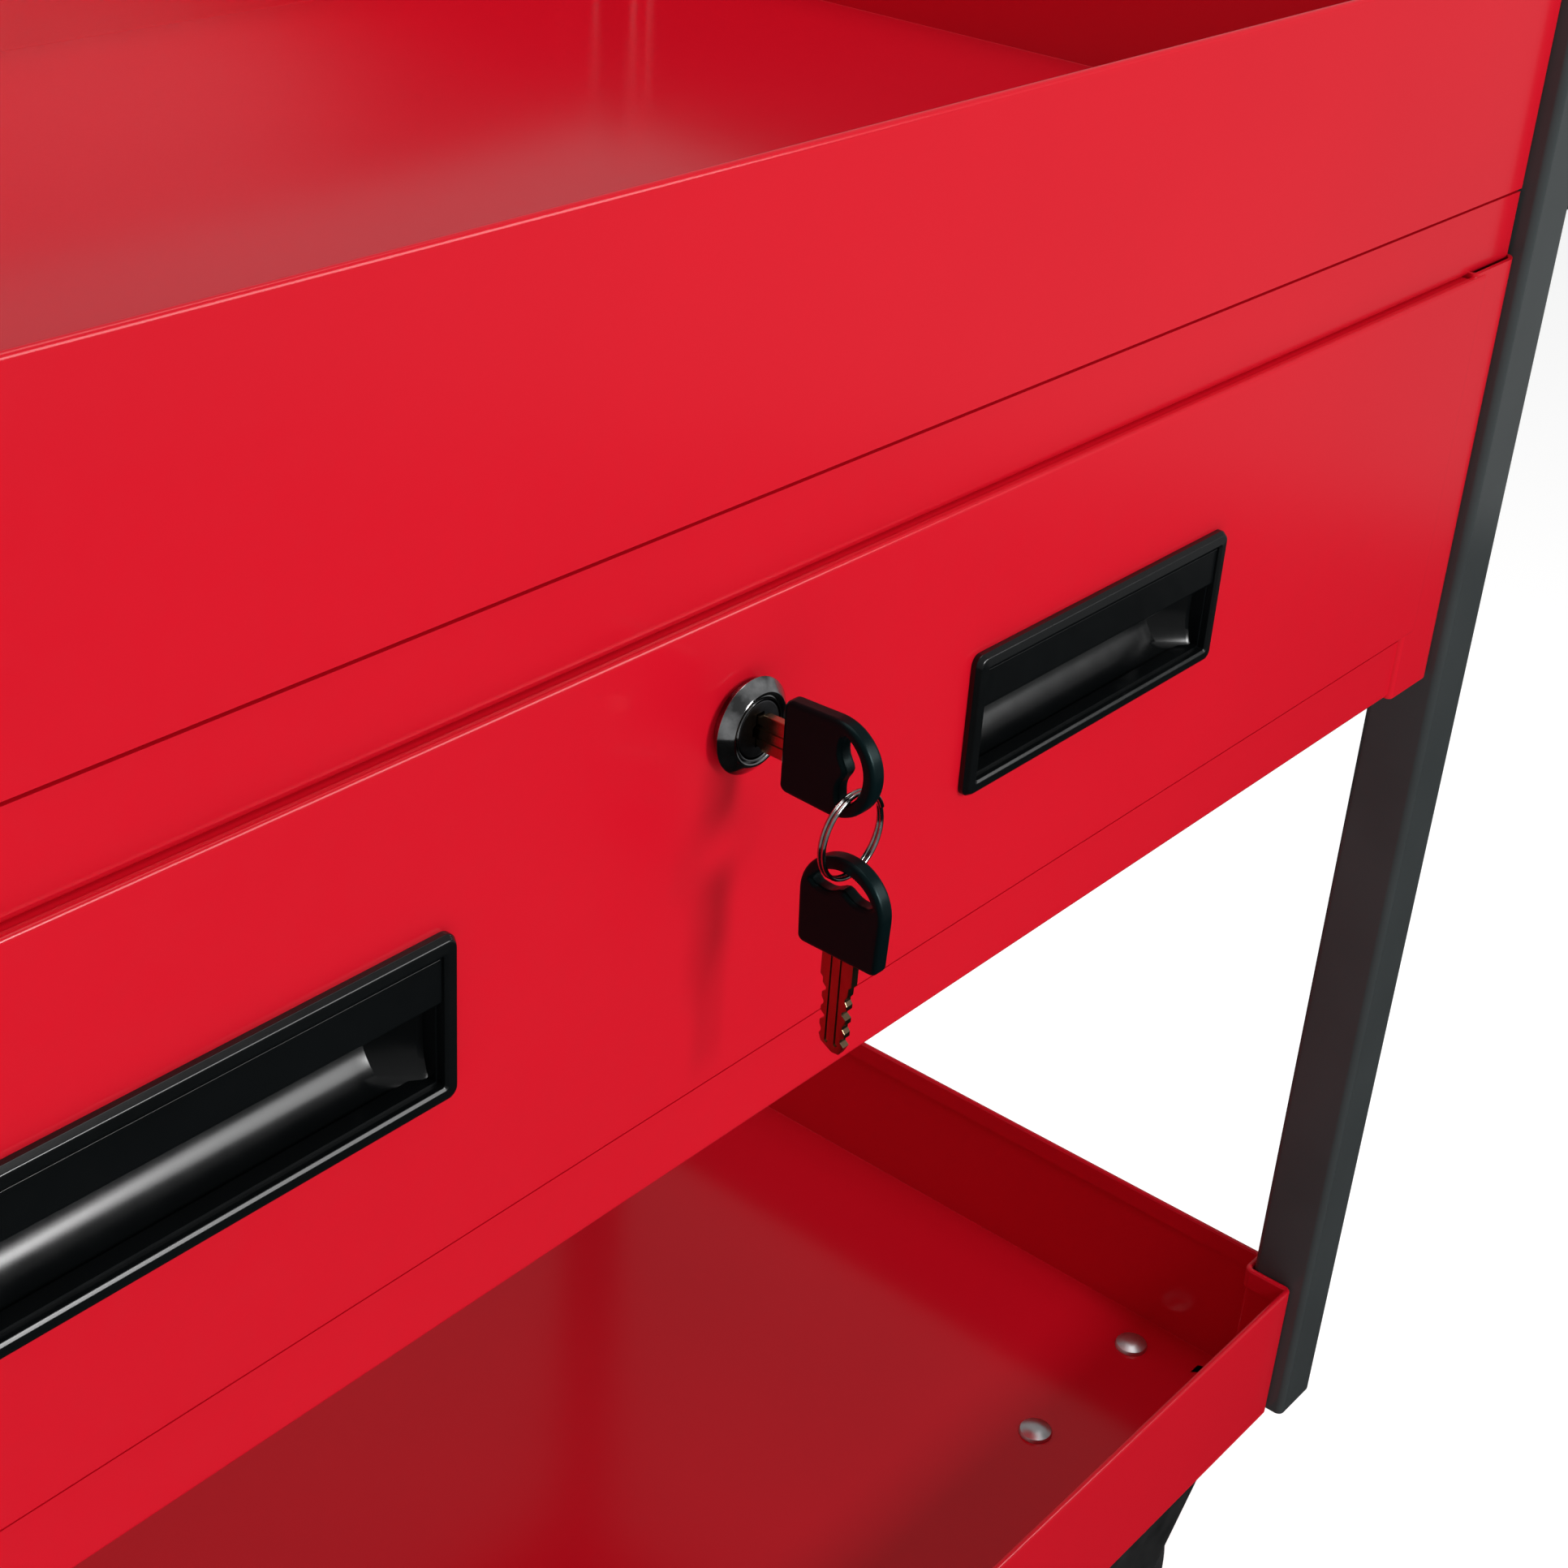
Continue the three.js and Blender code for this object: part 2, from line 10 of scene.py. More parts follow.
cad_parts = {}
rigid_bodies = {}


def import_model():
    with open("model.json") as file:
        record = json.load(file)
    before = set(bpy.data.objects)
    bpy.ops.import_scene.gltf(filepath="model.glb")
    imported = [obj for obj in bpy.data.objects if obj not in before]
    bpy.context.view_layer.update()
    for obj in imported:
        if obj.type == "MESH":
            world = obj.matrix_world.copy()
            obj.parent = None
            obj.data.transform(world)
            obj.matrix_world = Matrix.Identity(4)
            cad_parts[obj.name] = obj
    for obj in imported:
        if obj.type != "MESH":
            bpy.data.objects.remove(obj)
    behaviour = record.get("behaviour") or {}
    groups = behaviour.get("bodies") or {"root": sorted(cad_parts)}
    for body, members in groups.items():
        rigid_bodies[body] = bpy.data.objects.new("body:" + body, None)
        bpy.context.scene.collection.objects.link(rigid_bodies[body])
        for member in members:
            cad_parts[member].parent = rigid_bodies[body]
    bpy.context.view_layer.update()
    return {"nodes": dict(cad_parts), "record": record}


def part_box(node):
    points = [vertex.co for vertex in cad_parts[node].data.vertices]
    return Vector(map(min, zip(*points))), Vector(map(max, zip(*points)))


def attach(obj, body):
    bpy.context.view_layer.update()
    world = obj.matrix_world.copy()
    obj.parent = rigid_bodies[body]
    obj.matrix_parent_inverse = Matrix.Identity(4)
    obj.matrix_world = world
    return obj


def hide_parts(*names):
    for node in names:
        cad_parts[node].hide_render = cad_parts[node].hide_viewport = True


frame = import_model()
MM = 0.001


def mid(node):
    lo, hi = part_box(node)
    return (Vector(lo) + Vector(hi)) / 2


def lohi(node):
    lo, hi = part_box(node)
    return Vector(lo), Vector(hi)


# ---- places read from the frame ----------------------------------------------------------------
LOCK = mid("lock_housing")
FRONT_Y = lohi("drawer_front")[0].y          # the drawer's front plane
LOCK.y = FRONT_Y
CX = LOCK.x                                  # the cart's middle, between the legs


# ---- camera ------------------------------------------------------------------------------------
CAMERA_FROM_LOCK = Vector((-0.3812, -0.3119, 0.2626))
CAMERA_YAW, CAMERA_PITCH, CAMERA_ROLL = 51.89, 29.43, 4.10
CAMERA_LENS = 57.26

cam_data = bpy.data.cameras.new("camera")
cam_data.lens = CAMERA_LENS
cam_data.sensor_width = 36.0
cam_data.clip_start = 0.02
camera = bpy.data.objects.new("camera", cam_data)
bpy.context.scene.collection.objects.link(camera)
camera.rotation_mode = "QUATERNION"
look = Matrix.Rotation(radians(-CAMERA_YAW), 3, "Z") @ Matrix.Rotation(radians(90 - CAMERA_PITCH), 3, "X")
look = look @ Matrix.Rotation(radians(CAMERA_ROLL), 3, "Z")
camera.rotation_quaternion = look.to_quaternion()
camera.location = LOCK + CAMERA_FROM_LOCK
bpy.context.scene.camera = camera


# ---- materials ---------------------------------------------------------------------------------
def material(name, color, rough, metallic=0.0, tint=(1, 1, 1), spread=0.06, grain=900.0, bump=0.04, depth=0.02,
             coat=0.0, coat_rough=0.1, rough_spread=0.06, blotch=18.0, stretch=(1, 1, 1), specular=0.5):
    """A procedural finish: slow colour drift, fine grain in the bump, and uneven gloss."""
    mat = bpy.data.materials.new(name)
    mat.use_nodes = True
    nodes, links = mat.node_tree.nodes, mat.node_tree.links
    shader = nodes["Principled BSDF"]
    shader.inputs["Metallic"].default_value = metallic
    shader.inputs["Coat Weight"].default_value = coat
    shader.inputs["Coat Roughness"].default_value = coat_rough
    shader.inputs["Specular IOR Level"].default_value = specular
    shader.inputs["Specular Tint"].default_value = (*tint, 1)
    where = nodes.new("ShaderNodeTexCoord")
    scale = nodes.new("ShaderNodeMapping")
    scale.inputs["Scale"].default_value = stretch
    links.new(where.outputs["Object"], scale.inputs["Vector"])

    def noise(size, detail=3.0):
        n = nodes.new("ShaderNodeTexNoise")
        n.inputs["Scale"].default_value = size
        n.inputs["Detail"].default_value = detail
        links.new(scale.outputs["Vector"], n.inputs["Vector"])
        return n.outputs["Fac"]

    ramp = nodes.new("ShaderNodeValToRGB")
    dark = [c * (1 - spread) for c in color]
    light = [min(1.0, c * (1 + spread)) for c in color]
    ramp.color_ramp.elements[0].color = (*dark, 1)
    ramp.color_ramp.elements[1].color = (*light, 1)
    ramp.color_ramp.elements[0].position = 0.3
    ramp.color_ramp.elements[1].position = 0.7
    links.new(noise(blotch, 4.0), ramp.inputs["Fac"])
    links.new(ramp.outputs["Color"], shader.inputs["Base Color"])
    spots = nodes.new("ShaderNodeMapRange")
    spots.inputs["To Min"].default_value = max(0.02, rough - rough_spread)
    spots.inputs["To Max"].default_value = min(1.0, rough + rough_spread)
    links.new(noise(grain * 0.12), spots.inputs["Value"])
    links.new(spots.outputs["Result"], shader.inputs["Roughness"])
    if bump:
        b = nodes.new("ShaderNodeBump")
        b.inputs["Strength"].default_value = bump
        b.inputs["Distance"].default_value = depth * MM
        links.new(noise(grain, 2.0), b.inputs["Height"])
        links.new(b.outputs["Normal"], shader.inputs["Normal"])
    return mat


MATS = {
    "red_steel": material("red_powder_coat", (0.60, 0.005, 0.017), 0.17, spread=0.03, grain=1500, bump=0.05,
                          depth=0.015, rough_spread=0.03, blotch=6, specular=0.27),
    "leg_black": material("black_powder_coat", (0.040, 0.046, 0.047), 0.14, spread=0.10, grain=1400, bump=0.03,
                          depth=0.02, coat=0.25, coat_rough=0.05, rough_spread=0.03, specular=0.15, tint=(0.7, 1, 1)),
    "cap_plastic": material("cap_plastic", (0.012, 0.012, 0.013), 0.42, spread=0.2, grain=1600, bump=0.2),
    "pull_plastic": material("pull_plastic", (0.0026, 0.0033, 0.0036), 0.22, spread=0.25, grain=1600, bump=0.08,
                             depth=0.02, rough_spread=0.05, specular=0.33),
    "zinc_steel": material("zinc_plate", (0.55, 0.56, 0.57), 0.32, metallic=1.0, spread=0.12, grain=500,
                           bump=0.15, depth=0.03, rough_spread=0.1, blotch=60),
    "lock_chrome": material("lock_chrome", (0.34, 0.344, 0.35), 0.12, metallic=1.0, spread=0.75, grain=900,
                            bump=0.05, rough_spread=0.06, blotch=150),
    "lock_face": material("lock_face", (0.085, 0.085, 0.09), 0.34, metallic=1.0, spread=0.2, grain=1800,
                          bump=0.12, rough_spread=0.08, blotch=300),
    "key_plastic": material("key_plastic", (0.0011, 0.0048, 0.0056), 0.30, spread=0.25, grain=1800, bump=0.16,
                            depth=0.02, rough_spread=0.06, specular=0.09, tint=(0.65, 1, 1)),
    "key_metal": material("key_metal", (0.30, 0.20, 0.12), 0.24, metallic=1.0, spread=0.15, grain=1400,
                          bump=0.10, rough_spread=0.08, blotch=260, stretch=(1, 1, 0.3)),
    "ring_steel": material("ring_steel", (0.36, 0.355, 0.345), 0.14, metallic=1.0, spread=0.3, grain=900,
                           bump=0.04, rough_spread=0.05, blotch=300),
    "grip_rubber": material("grip_rubber", (0.018, 0.018, 0.019), 0.75, spread=0.2, grain=1300, bump=0.4,
                            depth=0.06, specular=0.3),
    "tyre_rubber": material("tyre_rubber", (0.020, 0.020, 0.021), 0.72, spread=0.25, grain=900, bump=0.35,
                            depth=0.06, specular=0.3, blotch=40),
    "hub_plastic": material("hub_plastic", (0.10, 0.10, 0.105), 0.48, spread=0.12, grain=1200, bump=0.2,
                            depth=0.03),
    "pedal_plastic": material("pedal_plastic", (0.016, 0.016, 0.017), 0.45, spread=0.2, grain=1400, bump=0.25),
}


# ---- mesh helpers ------------------------------------------------------------------------------
CRISP = 32                                      # degrees: a bend sharper than this shades as an edge


def finish_mesh(bm, name, mat, body, slot=None, replaces=(), sharp=CRISP, matrix=None):
    """Turns bm into a piece with smooth faces and crisp edges, riding on body."""
    bmesh.ops.recalc_face_normals(bm, faces=bm.faces)
    mesh = bpy.data.meshes.new(name)
    bm.to_mesh(mesh)
    bm.free()
    if matrix is not None:
        mesh.transform(matrix)
    mesh.shade_smooth()
    mesh.set_sharp_from_angle(angle=radians(sharp))
    mesh.materials.append(MATS[mat])
    obj = bpy.data.objects.new(name, mesh)
    bpy.context.scene.collection.objects.link(obj)
    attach(obj, body)
    if replaces:
        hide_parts(*replaces)
    flatten(obj)
    return obj


def flatten(obj):
    """Lets large flat faces keep their own normals, so that only the bends shade as round."""
    obj.modifiers.new("flat_faces", "WEIGHTED_NORMAL").keep_sharp = True


def arc(cx, cy, r, a0, a1, n):
    return [(cx + r * cos(a0 + (a1 - a0) * i / n), cy + r * sin(a0 + (a1 - a0) * i / n)) for i in range(n + 1)]


def fillet(points, radii, seg=6, closed=False):
    """A polyline with its corners rounded; radii is one value or one per point."""
    n = len(points)
    radii = radii if isinstance(radii, (list, tuple)) else [radii] * n
    out = []
    for i, p in enumerate(points):
        p = Vector(p)
        ends = not closed and i in (0, n - 1)
        if ends or radii[i] <= 0:
            out.append(tuple(p))
            continue
        a, b = Vector(points[i - 1]), Vector(points[(i + 1) % n])
        u, v = (a - p).normalized(), (b - p).normalized()
        turn = u.angle(v)
        if turn > pi - 0.01:
            out.append(tuple(p))
            continue
        reach = radii[i] / math.tan(turn / 2)
        centre = p + (u + v).normalized() * (radii[i] / sin(turn / 2))
        s, e = p + u * reach - centre, p + v * reach - centre
        a0, a1 = math.atan2(s.y, s.x), math.atan2(e.y, e.x)
        delta = (a1 - a0 + pi) % (2 * pi) - pi
        out += arc(centre.x, centre.y, radii[i], a0, a0 + delta, seg)
    return out


def thicken(points, t):
    """The closed outline of a sheet of thickness t on the left of an open polyline."""
    pts = [Vector(p) for p in points]
    other = []
    for i, p in enumerate(pts):
        d0 = (p - pts[i - 1]).normalized() if i else (pts[1] - p).normalized()
        d1 = (pts[i + 1] - p).normalized() if i < len(pts) - 1 else d0
        normal = Vector((-(d0 + d1).y, (d0 + d1).x)).normalized()
        other.append(p + normal * t / max(0.3, normal.dot(Vector((-d0.y, d0.x)))))
    return [tuple(p) for p in pts] + [tuple(p) for p in reversed(other)]


AXES = {  # where (a, b, along) go
    "X": lambda a, b, c: (c, a, b),
    "Y": lambda a, b, c: (a, c, b),
    "Z": lambda a, b, c: (a, b, c),
}


def prism(bm, outline, axis, c0, c1):
    """Extrudes a closed outline, given in millimetres, along an axis from c0 to c1 (millimetres)."""
    put = AXES[axis]
    rings = [[bm.verts.new(Vector(put(a, b, c)) * MM) for a, b in outline] for c in (c0, c1)]
    n = len(outline)
    for i in range(n):
        bm.faces.new((rings[0][i], rings[0][(i + 1) % n], rings[1][(i + 1) % n], rings[1][i]))
    bm.faces.new(rings[0])
    bm.faces.new(list(reversed(rings[1])))


def skin(bm, loops, cap_first=True, cap_last=True, wrap=False):
    """Joins closed loops of equal length with faces; caps the ends, or wraps the last to the first."""
    rings = [[bm.verts.new(Vector(p) * MM) for p in loop] for loop in loops]
    n = len(rings[0])
    pairs = list(zip(rings, rings[1:])) + ([(rings[-1], rings[0])] if wrap else [])
    for r0, r1 in pairs:
        for i in range(n):
            bm.faces.new((r0[i], r0[(i + 1) % n], r1[(i + 1) % n], r1[i]))
    if not wrap:
        if cap_first:
            bm.faces.new(rings[0])
        if cap_last:
            bm.faces.new(list(reversed(rings[-1])))


def lathe(bm, profile, axis, centre, n=64, closed=True):
    """Turns (radius, along) points, millimetres, round an axis through centre (row frame, metres)."""
    put = AXES[axis]
    rows = []
    for r, c in profile:
        if r < 1e-6:
            rows.append([bm.verts.new(Vector(put(0, 0, c)) * MM + centre)])
            continue
        rows.append([bm.verts.new(Vector(put(r * cos(2 * pi * i / n), r * sin(2 * pi * i / n), c)) * MM + centre)
                     for i in range(n)])
    pairs = list(zip(rows, rows[1:])) + ([(rows[-1], rows[0])] if closed else [])
    for r0, r1 in pairs:
        for i in range(n):
            j = (i + 1) % n
            a, b = (r0[i % len(r0)], r0[j % len(r0)]), (r1[j % len(r1)], r1[i % len(r1)])
            face = []
            for v in (*a, *b):
                if v not in face:
                    face.append(v)
            if len(face) > 2:
                bm.faces.new(face)


def tube(bm, path, radius, n=20, section=None):
    """A round bar along a smooth path of points (row frame, metres), ends capped."""
    pts = [Vector(p) for p in path]
    tangents = [((pts[min(i + 1, len(pts) - 1)]) - pts[max(i - 1, 0)]).normalized() for i in range(len(pts))]
    side = tangents[0].orthogonal().normalized()
    rings = []
    for i, (p, t) in enumerate(zip(pts, tangents)):
        if i:
            side = tangents[i - 1].rotation_difference(t) @ side
        up = t.cross(side)
        rings.append([bm.verts.new(p + (side * cos(2 * pi * k / n) + up * sin(2 * pi * k / n)) * radius)
                      for k in range(n)])
    for r0, r1 in zip(rings, rings[1:]):
        for i in range(n):
            bm.faces.new((r0[i], r0[(i + 1) % n], r1[(i + 1) % n], r1[i]))
    bm.faces.new(list(reversed(rings[0])))
    bm.faces.new(rings[-1])


def flat_plate(name, outline, holes, thick, edge, mat, body, matrix, seg=3, **extra):
    """A flat piece with holes and rounded edges. Outline and holes in millimetres, in its own plane;
    the plate is centred on that plane and matrix (metres) puts it in the row frame."""
    curve = bpy.data.curves.new(name + "_outline", "CURVE")
    curve.dimensions = "2D"
    curve.fill_mode = "BOTH"
    curve.extrude = thick / 2 - edge
    curve.bevel_depth = edge
    curve.bevel_resolution = seg
    curve.offset = -edge
    for loop in (outline, *holes):
        spline = curve.splines.new("POLY")
        spline.points.add(len(loop) - 1)
        spline.use_cyclic_u = True
        for point, (a, b) in zip(spline.points, loop):
            point.co = (a, b, 0, 1)
    temp = bpy.data.objects.new(name + "_outline", curve)
    bpy.context.scene.collection.objects.link(temp)
    deps = bpy.context.evaluated_depsgraph_get()
    mesh = bpy.data.meshes.new_from_object(temp.evaluated_get(deps))
    bm = bmesh.new()
    bm.from_mesh(mesh)
    bmesh.ops.remove_doubles(bm, verts=bm.verts, dist=1e-4)
    bpy.data.objects.remove(temp)
    bpy.data.curves.remove(curve)
    bpy.data.meshes.remove(mesh)
    bmesh.ops.scale(bm, vec=(MM, MM, MM), verts=bm.verts)
    return finish_mesh(bm, name, mat, body, matrix=matrix, **extra)


def rounded(cx, cy, w, h, r, seg=6):
    pts = [(cx - w / 2, cy - h / 2), (cx + w / 2, cy - h / 2), (cx + w / 2, cy + h / 2), (cx - w / 2, cy + h / 2)]
    return fillet(pts, r, seg, closed=True)


def circle(cx, cy, r, n=32):
    return [(cx + r * cos(2 * pi * i / n), cy + r * sin(2 * pi * i / n)) for i in range(n)]


def axes_matrix(x, y, z, origin):
    """Columns x, y, z and an origin, as a placing matrix."""
    m = Matrix((x, y, z)).transposed().to_4x4()
    m.translation = origin
    return m


def mm(v):
    return v / MM


def cut(obj, tools):
    """Cuts closed tool objects out of obj for good and removes the tools."""
    obj.modifiers.remove(obj.modifiers["flat_faces"])
    for tool in tools:
        mod = obj.modifiers.new("cut", "BOOLEAN")
        mod.operation = "DIFFERENCE"
        mod.solver = "EXACT"
        mod.object = tool
    deps = bpy.context.evaluated_depsgraph_get()
    mesh = bpy.data.meshes.new_from_object(obj.evaluated_get(deps))
    obj.modifiers.clear()
    obj.data = mesh
    mesh.shade_smooth()
    mesh.set_sharp_from_angle(angle=radians(CRISP))
    for tool in tools:
        bpy.data.objects.remove(tool)
    flatten(obj)
    return obj


def tool_prism(outline, axis, c0, c1):
    bm = bmesh.new()
    prism(bm, outline, axis, c0, c1)
    bmesh.ops.recalc_face_normals(bm, faces=bm.faces)
    mesh = bpy.data.meshes.new("tool")
    bm.to_mesh(mesh)
    bm.free()
    obj = bpy.data.objects.new("tool", mesh)
    bpy.context.scene.collection.objects.link(obj)
    return obj


# ---- trays and other folded pans -------------------------------------------------------------------
SHEET = 1.3


def pan(name, outline, z, section, mat, body, replaces, **extra):
    """A pressed pan: outline(n) is the plan moved in by n, section the wall as (inward, height) points."""
    bm = bmesh.new()
    skin(bm, [[(x, y, z + h) for x, y in outline(n)] for n, h in section])
    return finish_mesh(bm, name, mat, body, replaces=replaces, **extra)


def wall_section(height, sheet=SHEET, bend=0.0, hem=2.6, hem_drop=9, deep=16):
    """Outside of the floor, round the bend, up the wall, over the folded rim and down the inside."""
    outer = fillet([(deep, 0), (0, 0), (0, height), (hem, height), (hem, height - hem_drop)],
                   [0, bend, 1.25, 1.25, 0], 5)
    inner = [(sheet, height - hem_drop)] + fillet(
        [(sheet, height - hem_drop - 1), (sheet, sheet), (deep, sheet)], [0, max(bend - sheet + 0.3, 0.2), 0], 5)
    return outer + inner


tray_lo, tray_hi = lohi("top_tray")
leg_lo, leg_hi = lohi("front_right_leg")
back_lo = lohi("back_right_leg")[0]
HALF_X = mm(tray_hi.x - CX)
INNER_X = mm(leg_lo.x - CX) - 0.3
TRAY_Y0, TRAY_Y1 = mm(tray_lo.y), mm(tray_hi.y)
NOTCH_Y0, NOTCH_Y1 = mm(leg_hi.y) + 0.3, mm(back_lo.y) - 0.3


def tray_outline(n, seg=5):
    """The pan's plan with its corners notched round the legs, in millimetres of the row frame."""
    cx = mm(CX)
    a, b = INNER_X - n, HALF_X - n
    f, k, n1, n2 = TRAY_Y0 + n, TRAY_Y1 - n, NOTCH_Y0 + n, NOTCH_Y1 - n
    out, inn = max(3.0 - n, 0.25), 1.0 + n
    pts = [(-a, f), (a, f), (a, n1), (b, n1), (b, n2), (a, n2),
           (a, k), (-a, k), (-a, n2), (-b, n2), (-b, n1), (-a, n1)]
    radii = [out, out, inn, out, out, inn, out, out, inn, out, out, inn]
    return [(x + cx, y) for x, y in fillet(pts, radii, seg, closed=True)]


for tray in ("top_tray", "bottom_tray"):
    lo, hi = lohi(tray)
    pan(tray + "_pan", tray_outline, mm(lo.z), wall_section(mm(hi.z - lo.z)), "red_steel", "cart", (tray,))


# ---- legs and caps -----------------------------------------------------------------------------
for end in ("front", "back"):
    for side in ("left", "right"):
        node = f"{end}_{side}_leg"
        lo, hi = lohi(node)
        c = (lo + hi) / 2
        w = mm(hi.x - lo.x)
        bm = bmesh.new()
        x, y = mm(c.x), mm(c.y)
        loops = []
        for size, z in ((w, lo.z), (w, hi.z), (w - 3, hi.z), (w - 3, lo.z)):
            loops.append([(px, py, mm(z)) for px, py in rounded(x, y, size, size, 2.8 if size == w else 1.4, 7)])
        skin(bm, loops, wrap=True)
        finish_mesh(bm, node + "_tube", "leg_black", "cart", replaces=(node,))
        lo, hi = lohi(node + "_cap")
        bm = bmesh.new()
        top = mm(hi.z)
        steps = [(w - 3.8, -16.5), (w - 3.6, -3), (w, -3), (w, -1.2), (w - 0.7, -0.35), (w - 2.4, 0)]
        skin(bm, [[(px, py, top + dz) for px, py in rounded(x, y, s, s, 2.8 - (w - s) * 0.3, 7)] for s, dz in steps])
        finish_mesh(bm, node + "_cap_plug", "cap_plastic", "cart", replaces=(node + "_cap",))


# ---- drawer cabinet ----------------------------------------------------------------------------
cab_lo, cab_hi = lohi("drawer_cabinet")
cab_x = mm(cab_hi.x - CX)
cab_front, cab_back = mm(cab_lo.y), mm(cab_hi.y)
z0, z1 = mm(cab_lo.z), mm(cab_hi.z)
cx = mm(CX)
OPEN_X, OPEN_Z0, OPEN_Z1 = 352.0, z0 + 22, z1 - 22
RAIL_BACK = 3.0                                 # the top rail is set back from the stiles
RAIL_DROP = 2.3                                 # shadow gap between the top tray and the rail
FRONT_RAISE, RAIL_RAISE = 2.0, 2.6              # drawer front's top and rail's foot, above the CAD drawer's top

bm = bmesh.new()
wrap_path = fillet([(cx - OPEN_X, cab_front + 10), (cx - OPEN_X, cab_front), (cx - cab_x, cab_front),
                    (cx - cab_x, cab_back), (cx + cab_x, cab_back), (cx + cab_x, cab_front),
                    (cx + OPEN_X, cab_front), (cx + OPEN_X, cab_front + 10)],
                   [0, 0.9, 5, 3, 3, 5, 0.9, 0], 10)
prism(bm, list(reversed(thicken(list(reversed(wrap_path)), -SHEET))), "Z", z0, OPEN_Z1)
finish_mesh(bm, "cabinet_wrap", "red_steel", "cart", replaces=("drawer_cabinet",))

bm = bmesh.new()
upper = fillet([(cx - cab_x, cab_front + 4), (cx - cab_x, cab_back), (cx + cab_x, cab_back),
                (cx + cab_x, cab_front + 4)], [0, 3, 3, 0], 8)
prism(bm, thicken(list(reversed(upper)), -SHEET), "Z", OPEN_Z1 + 0.15, z1)
finish_mesh(bm, "cabinet_upper_wall", "red_steel", "cart")

bm = bmesh.new()
base = fillet([(cab_back - SHEET - 1, z0 + 12), (cab_back - SHEET - 1, z0), (cab_front, z0),
               (cab_front, OPEN_Z0), (cab_front + 14, OPEN_Z0), (cab_front + 14, OPEN_Z0 - 8)],
              [0, 2.5, 2.2, 0, 1.6, 0], 6)
prism(bm, thicken(base, -SHEET), "X", cx - OPEN_X + 0.3, cx + OPEN_X - 0.3)
finish_mesh(bm, "cabinet_base", "red_steel", "cart")

bm = bmesh.new()
rail_y = cab_front + RAIL_BACK
rail_z = mm(lohi("drawer_front")[1].z) + RAIL_RAISE
rail = fillet([(rail_y + 16, z1 - RAIL_DROP), (rail_y, z1 - RAIL_DROP), (rail_y, rail_z), (rail_y + 16, rail_z),
               (rail_y + 16, rail_z + 8)], [0, 0, 1.0, 1.6, 0], 6)
prism(bm, thicken(rail, -SHEET), "X", cx - cab_x + 1.5, cx + cab_x - 1.5)
finish_mesh(bm, "cabinet_top_rail", "red_steel", "cart")


# ---- drawer front ------------------------------------------------------------------------------
front_lo, front_hi = lohi("drawer_front")
fx, fz0, fz1 = mm(front_hi.x - CX), mm(front_lo.z), mm(front_hi.z) + FRONT_RAISE
fy = mm(FRONT_Y)
bm = bmesh.new()
roll = fillet([(12, 0), (0, 0), (0, 1.95)], [0, 1.1, 0], 10) + [(1.2, 1.95), (1.2, 1.2), (12, 1.2)]
skin(bm, [[(x, fy + y, z) for x, z in rounded(cx, (fz0 + fz1) / 2, 2 * (fx - n),
                                              fz1 - fz0 - 2 * n, max(1.5 - n, 0.2), 5)] for n, y in roll])
front = finish_mesh(bm, "drawer_front_skin", "red_steel", "drawer", replaces=("drawer_front",))
PULLS = {"left_pull": mid("left_pull"), "right_pull": mid("right_pull")}
PW, PH = (mm(b - a) for a, b in zip(lohi("left_pull")[0].xz, lohi("left_pull")[1].xz))
PULL_HOLE_IN, LOCK_HOLE_R = 7.4, 9.8            # the pull's cut-out is smaller than its rim by this much
tools = [tool_prism(rounded(mm(c.x), mm(c.z), PW - PULL_HOLE_IN, PH - PULL_HOLE_IN, 2, 4), "Y", fy - 3, fy + 6)
         for c in PULLS.values()]
tools.append(tool_prism(circle(mm(LOCK.x), mm(LOCK.z), LOCK_HOLE_R, 48), "Y", fy - 3, fy + 6))
cut(front, tools)

bm = bmesh.new()
for z, s in ((fz1 - 0.4, -1), (fz0, 1)):
    flange = [(fy + 2.0, z), (fy + 14, z), (fy + 14, z + s * 9)]
    prism(bm, thicken(fillet(flange, [0, 1.6, 0], 6), 1.2 * s), "X", cx - 349, cx + 349)
finish_mesh(bm, "drawer_front_flanges", "red_steel", "drawer")


# ---- drawer box --------------------------------------------------------------------------------
box_lo, box_hi = lohi("drawer_box")
bx, by0, by1 = mm(box_hi.x - CX), mm(box_lo.y) + 32.2, mm(box_hi.y)
bz0, bz1 = mm(box_lo.z), mm(box_hi.z)


def box_outline(n):
    return rounded(cx, (by0 + by1) / 2, 2 * (bx - n), by1 - by0 - 2 * n, max(2.5 - n, 0.25), 5)


pan("drawer_box_pan", box_outline, bz0, wall_section(bz1 - bz0, 1.1, 2.0, 2.4, 8, 12), "red_steel", "drawer",
    ("drawer_box",))
bm = bmesh.new()
for s in (-1, 1):
    arm = [(cx + s * (bx - 9), fy + 1.4), (cx + s * (bx - 0.2), fy + 1.4), (cx + s * (bx - 0.2), by0 - 0.2)]
    prism(bm, thicken(fillet(arm, [0, 1.6, 0], 5), 1.1 * s), "Z", bz0 + 0.5, bz1)
strip = [(fy + 2.0, bz0), (by0 - 0.2, bz0), (by0 - 0.2, bz0 + 1.2), (fy + 2.0, bz0 + 1.2)]
prism(bm, strip, "X", cx - bx + 0.5, cx + bx - 0.5)
finish_mesh(bm, "drawer_side_arms", "red_steel", "drawer")


# ---- recessed pulls ----------------------------------------------------------------------------
PULL_RIM, PULL_PLATE_Y, PULL_LIP = 4.3, -1.9, 4.0


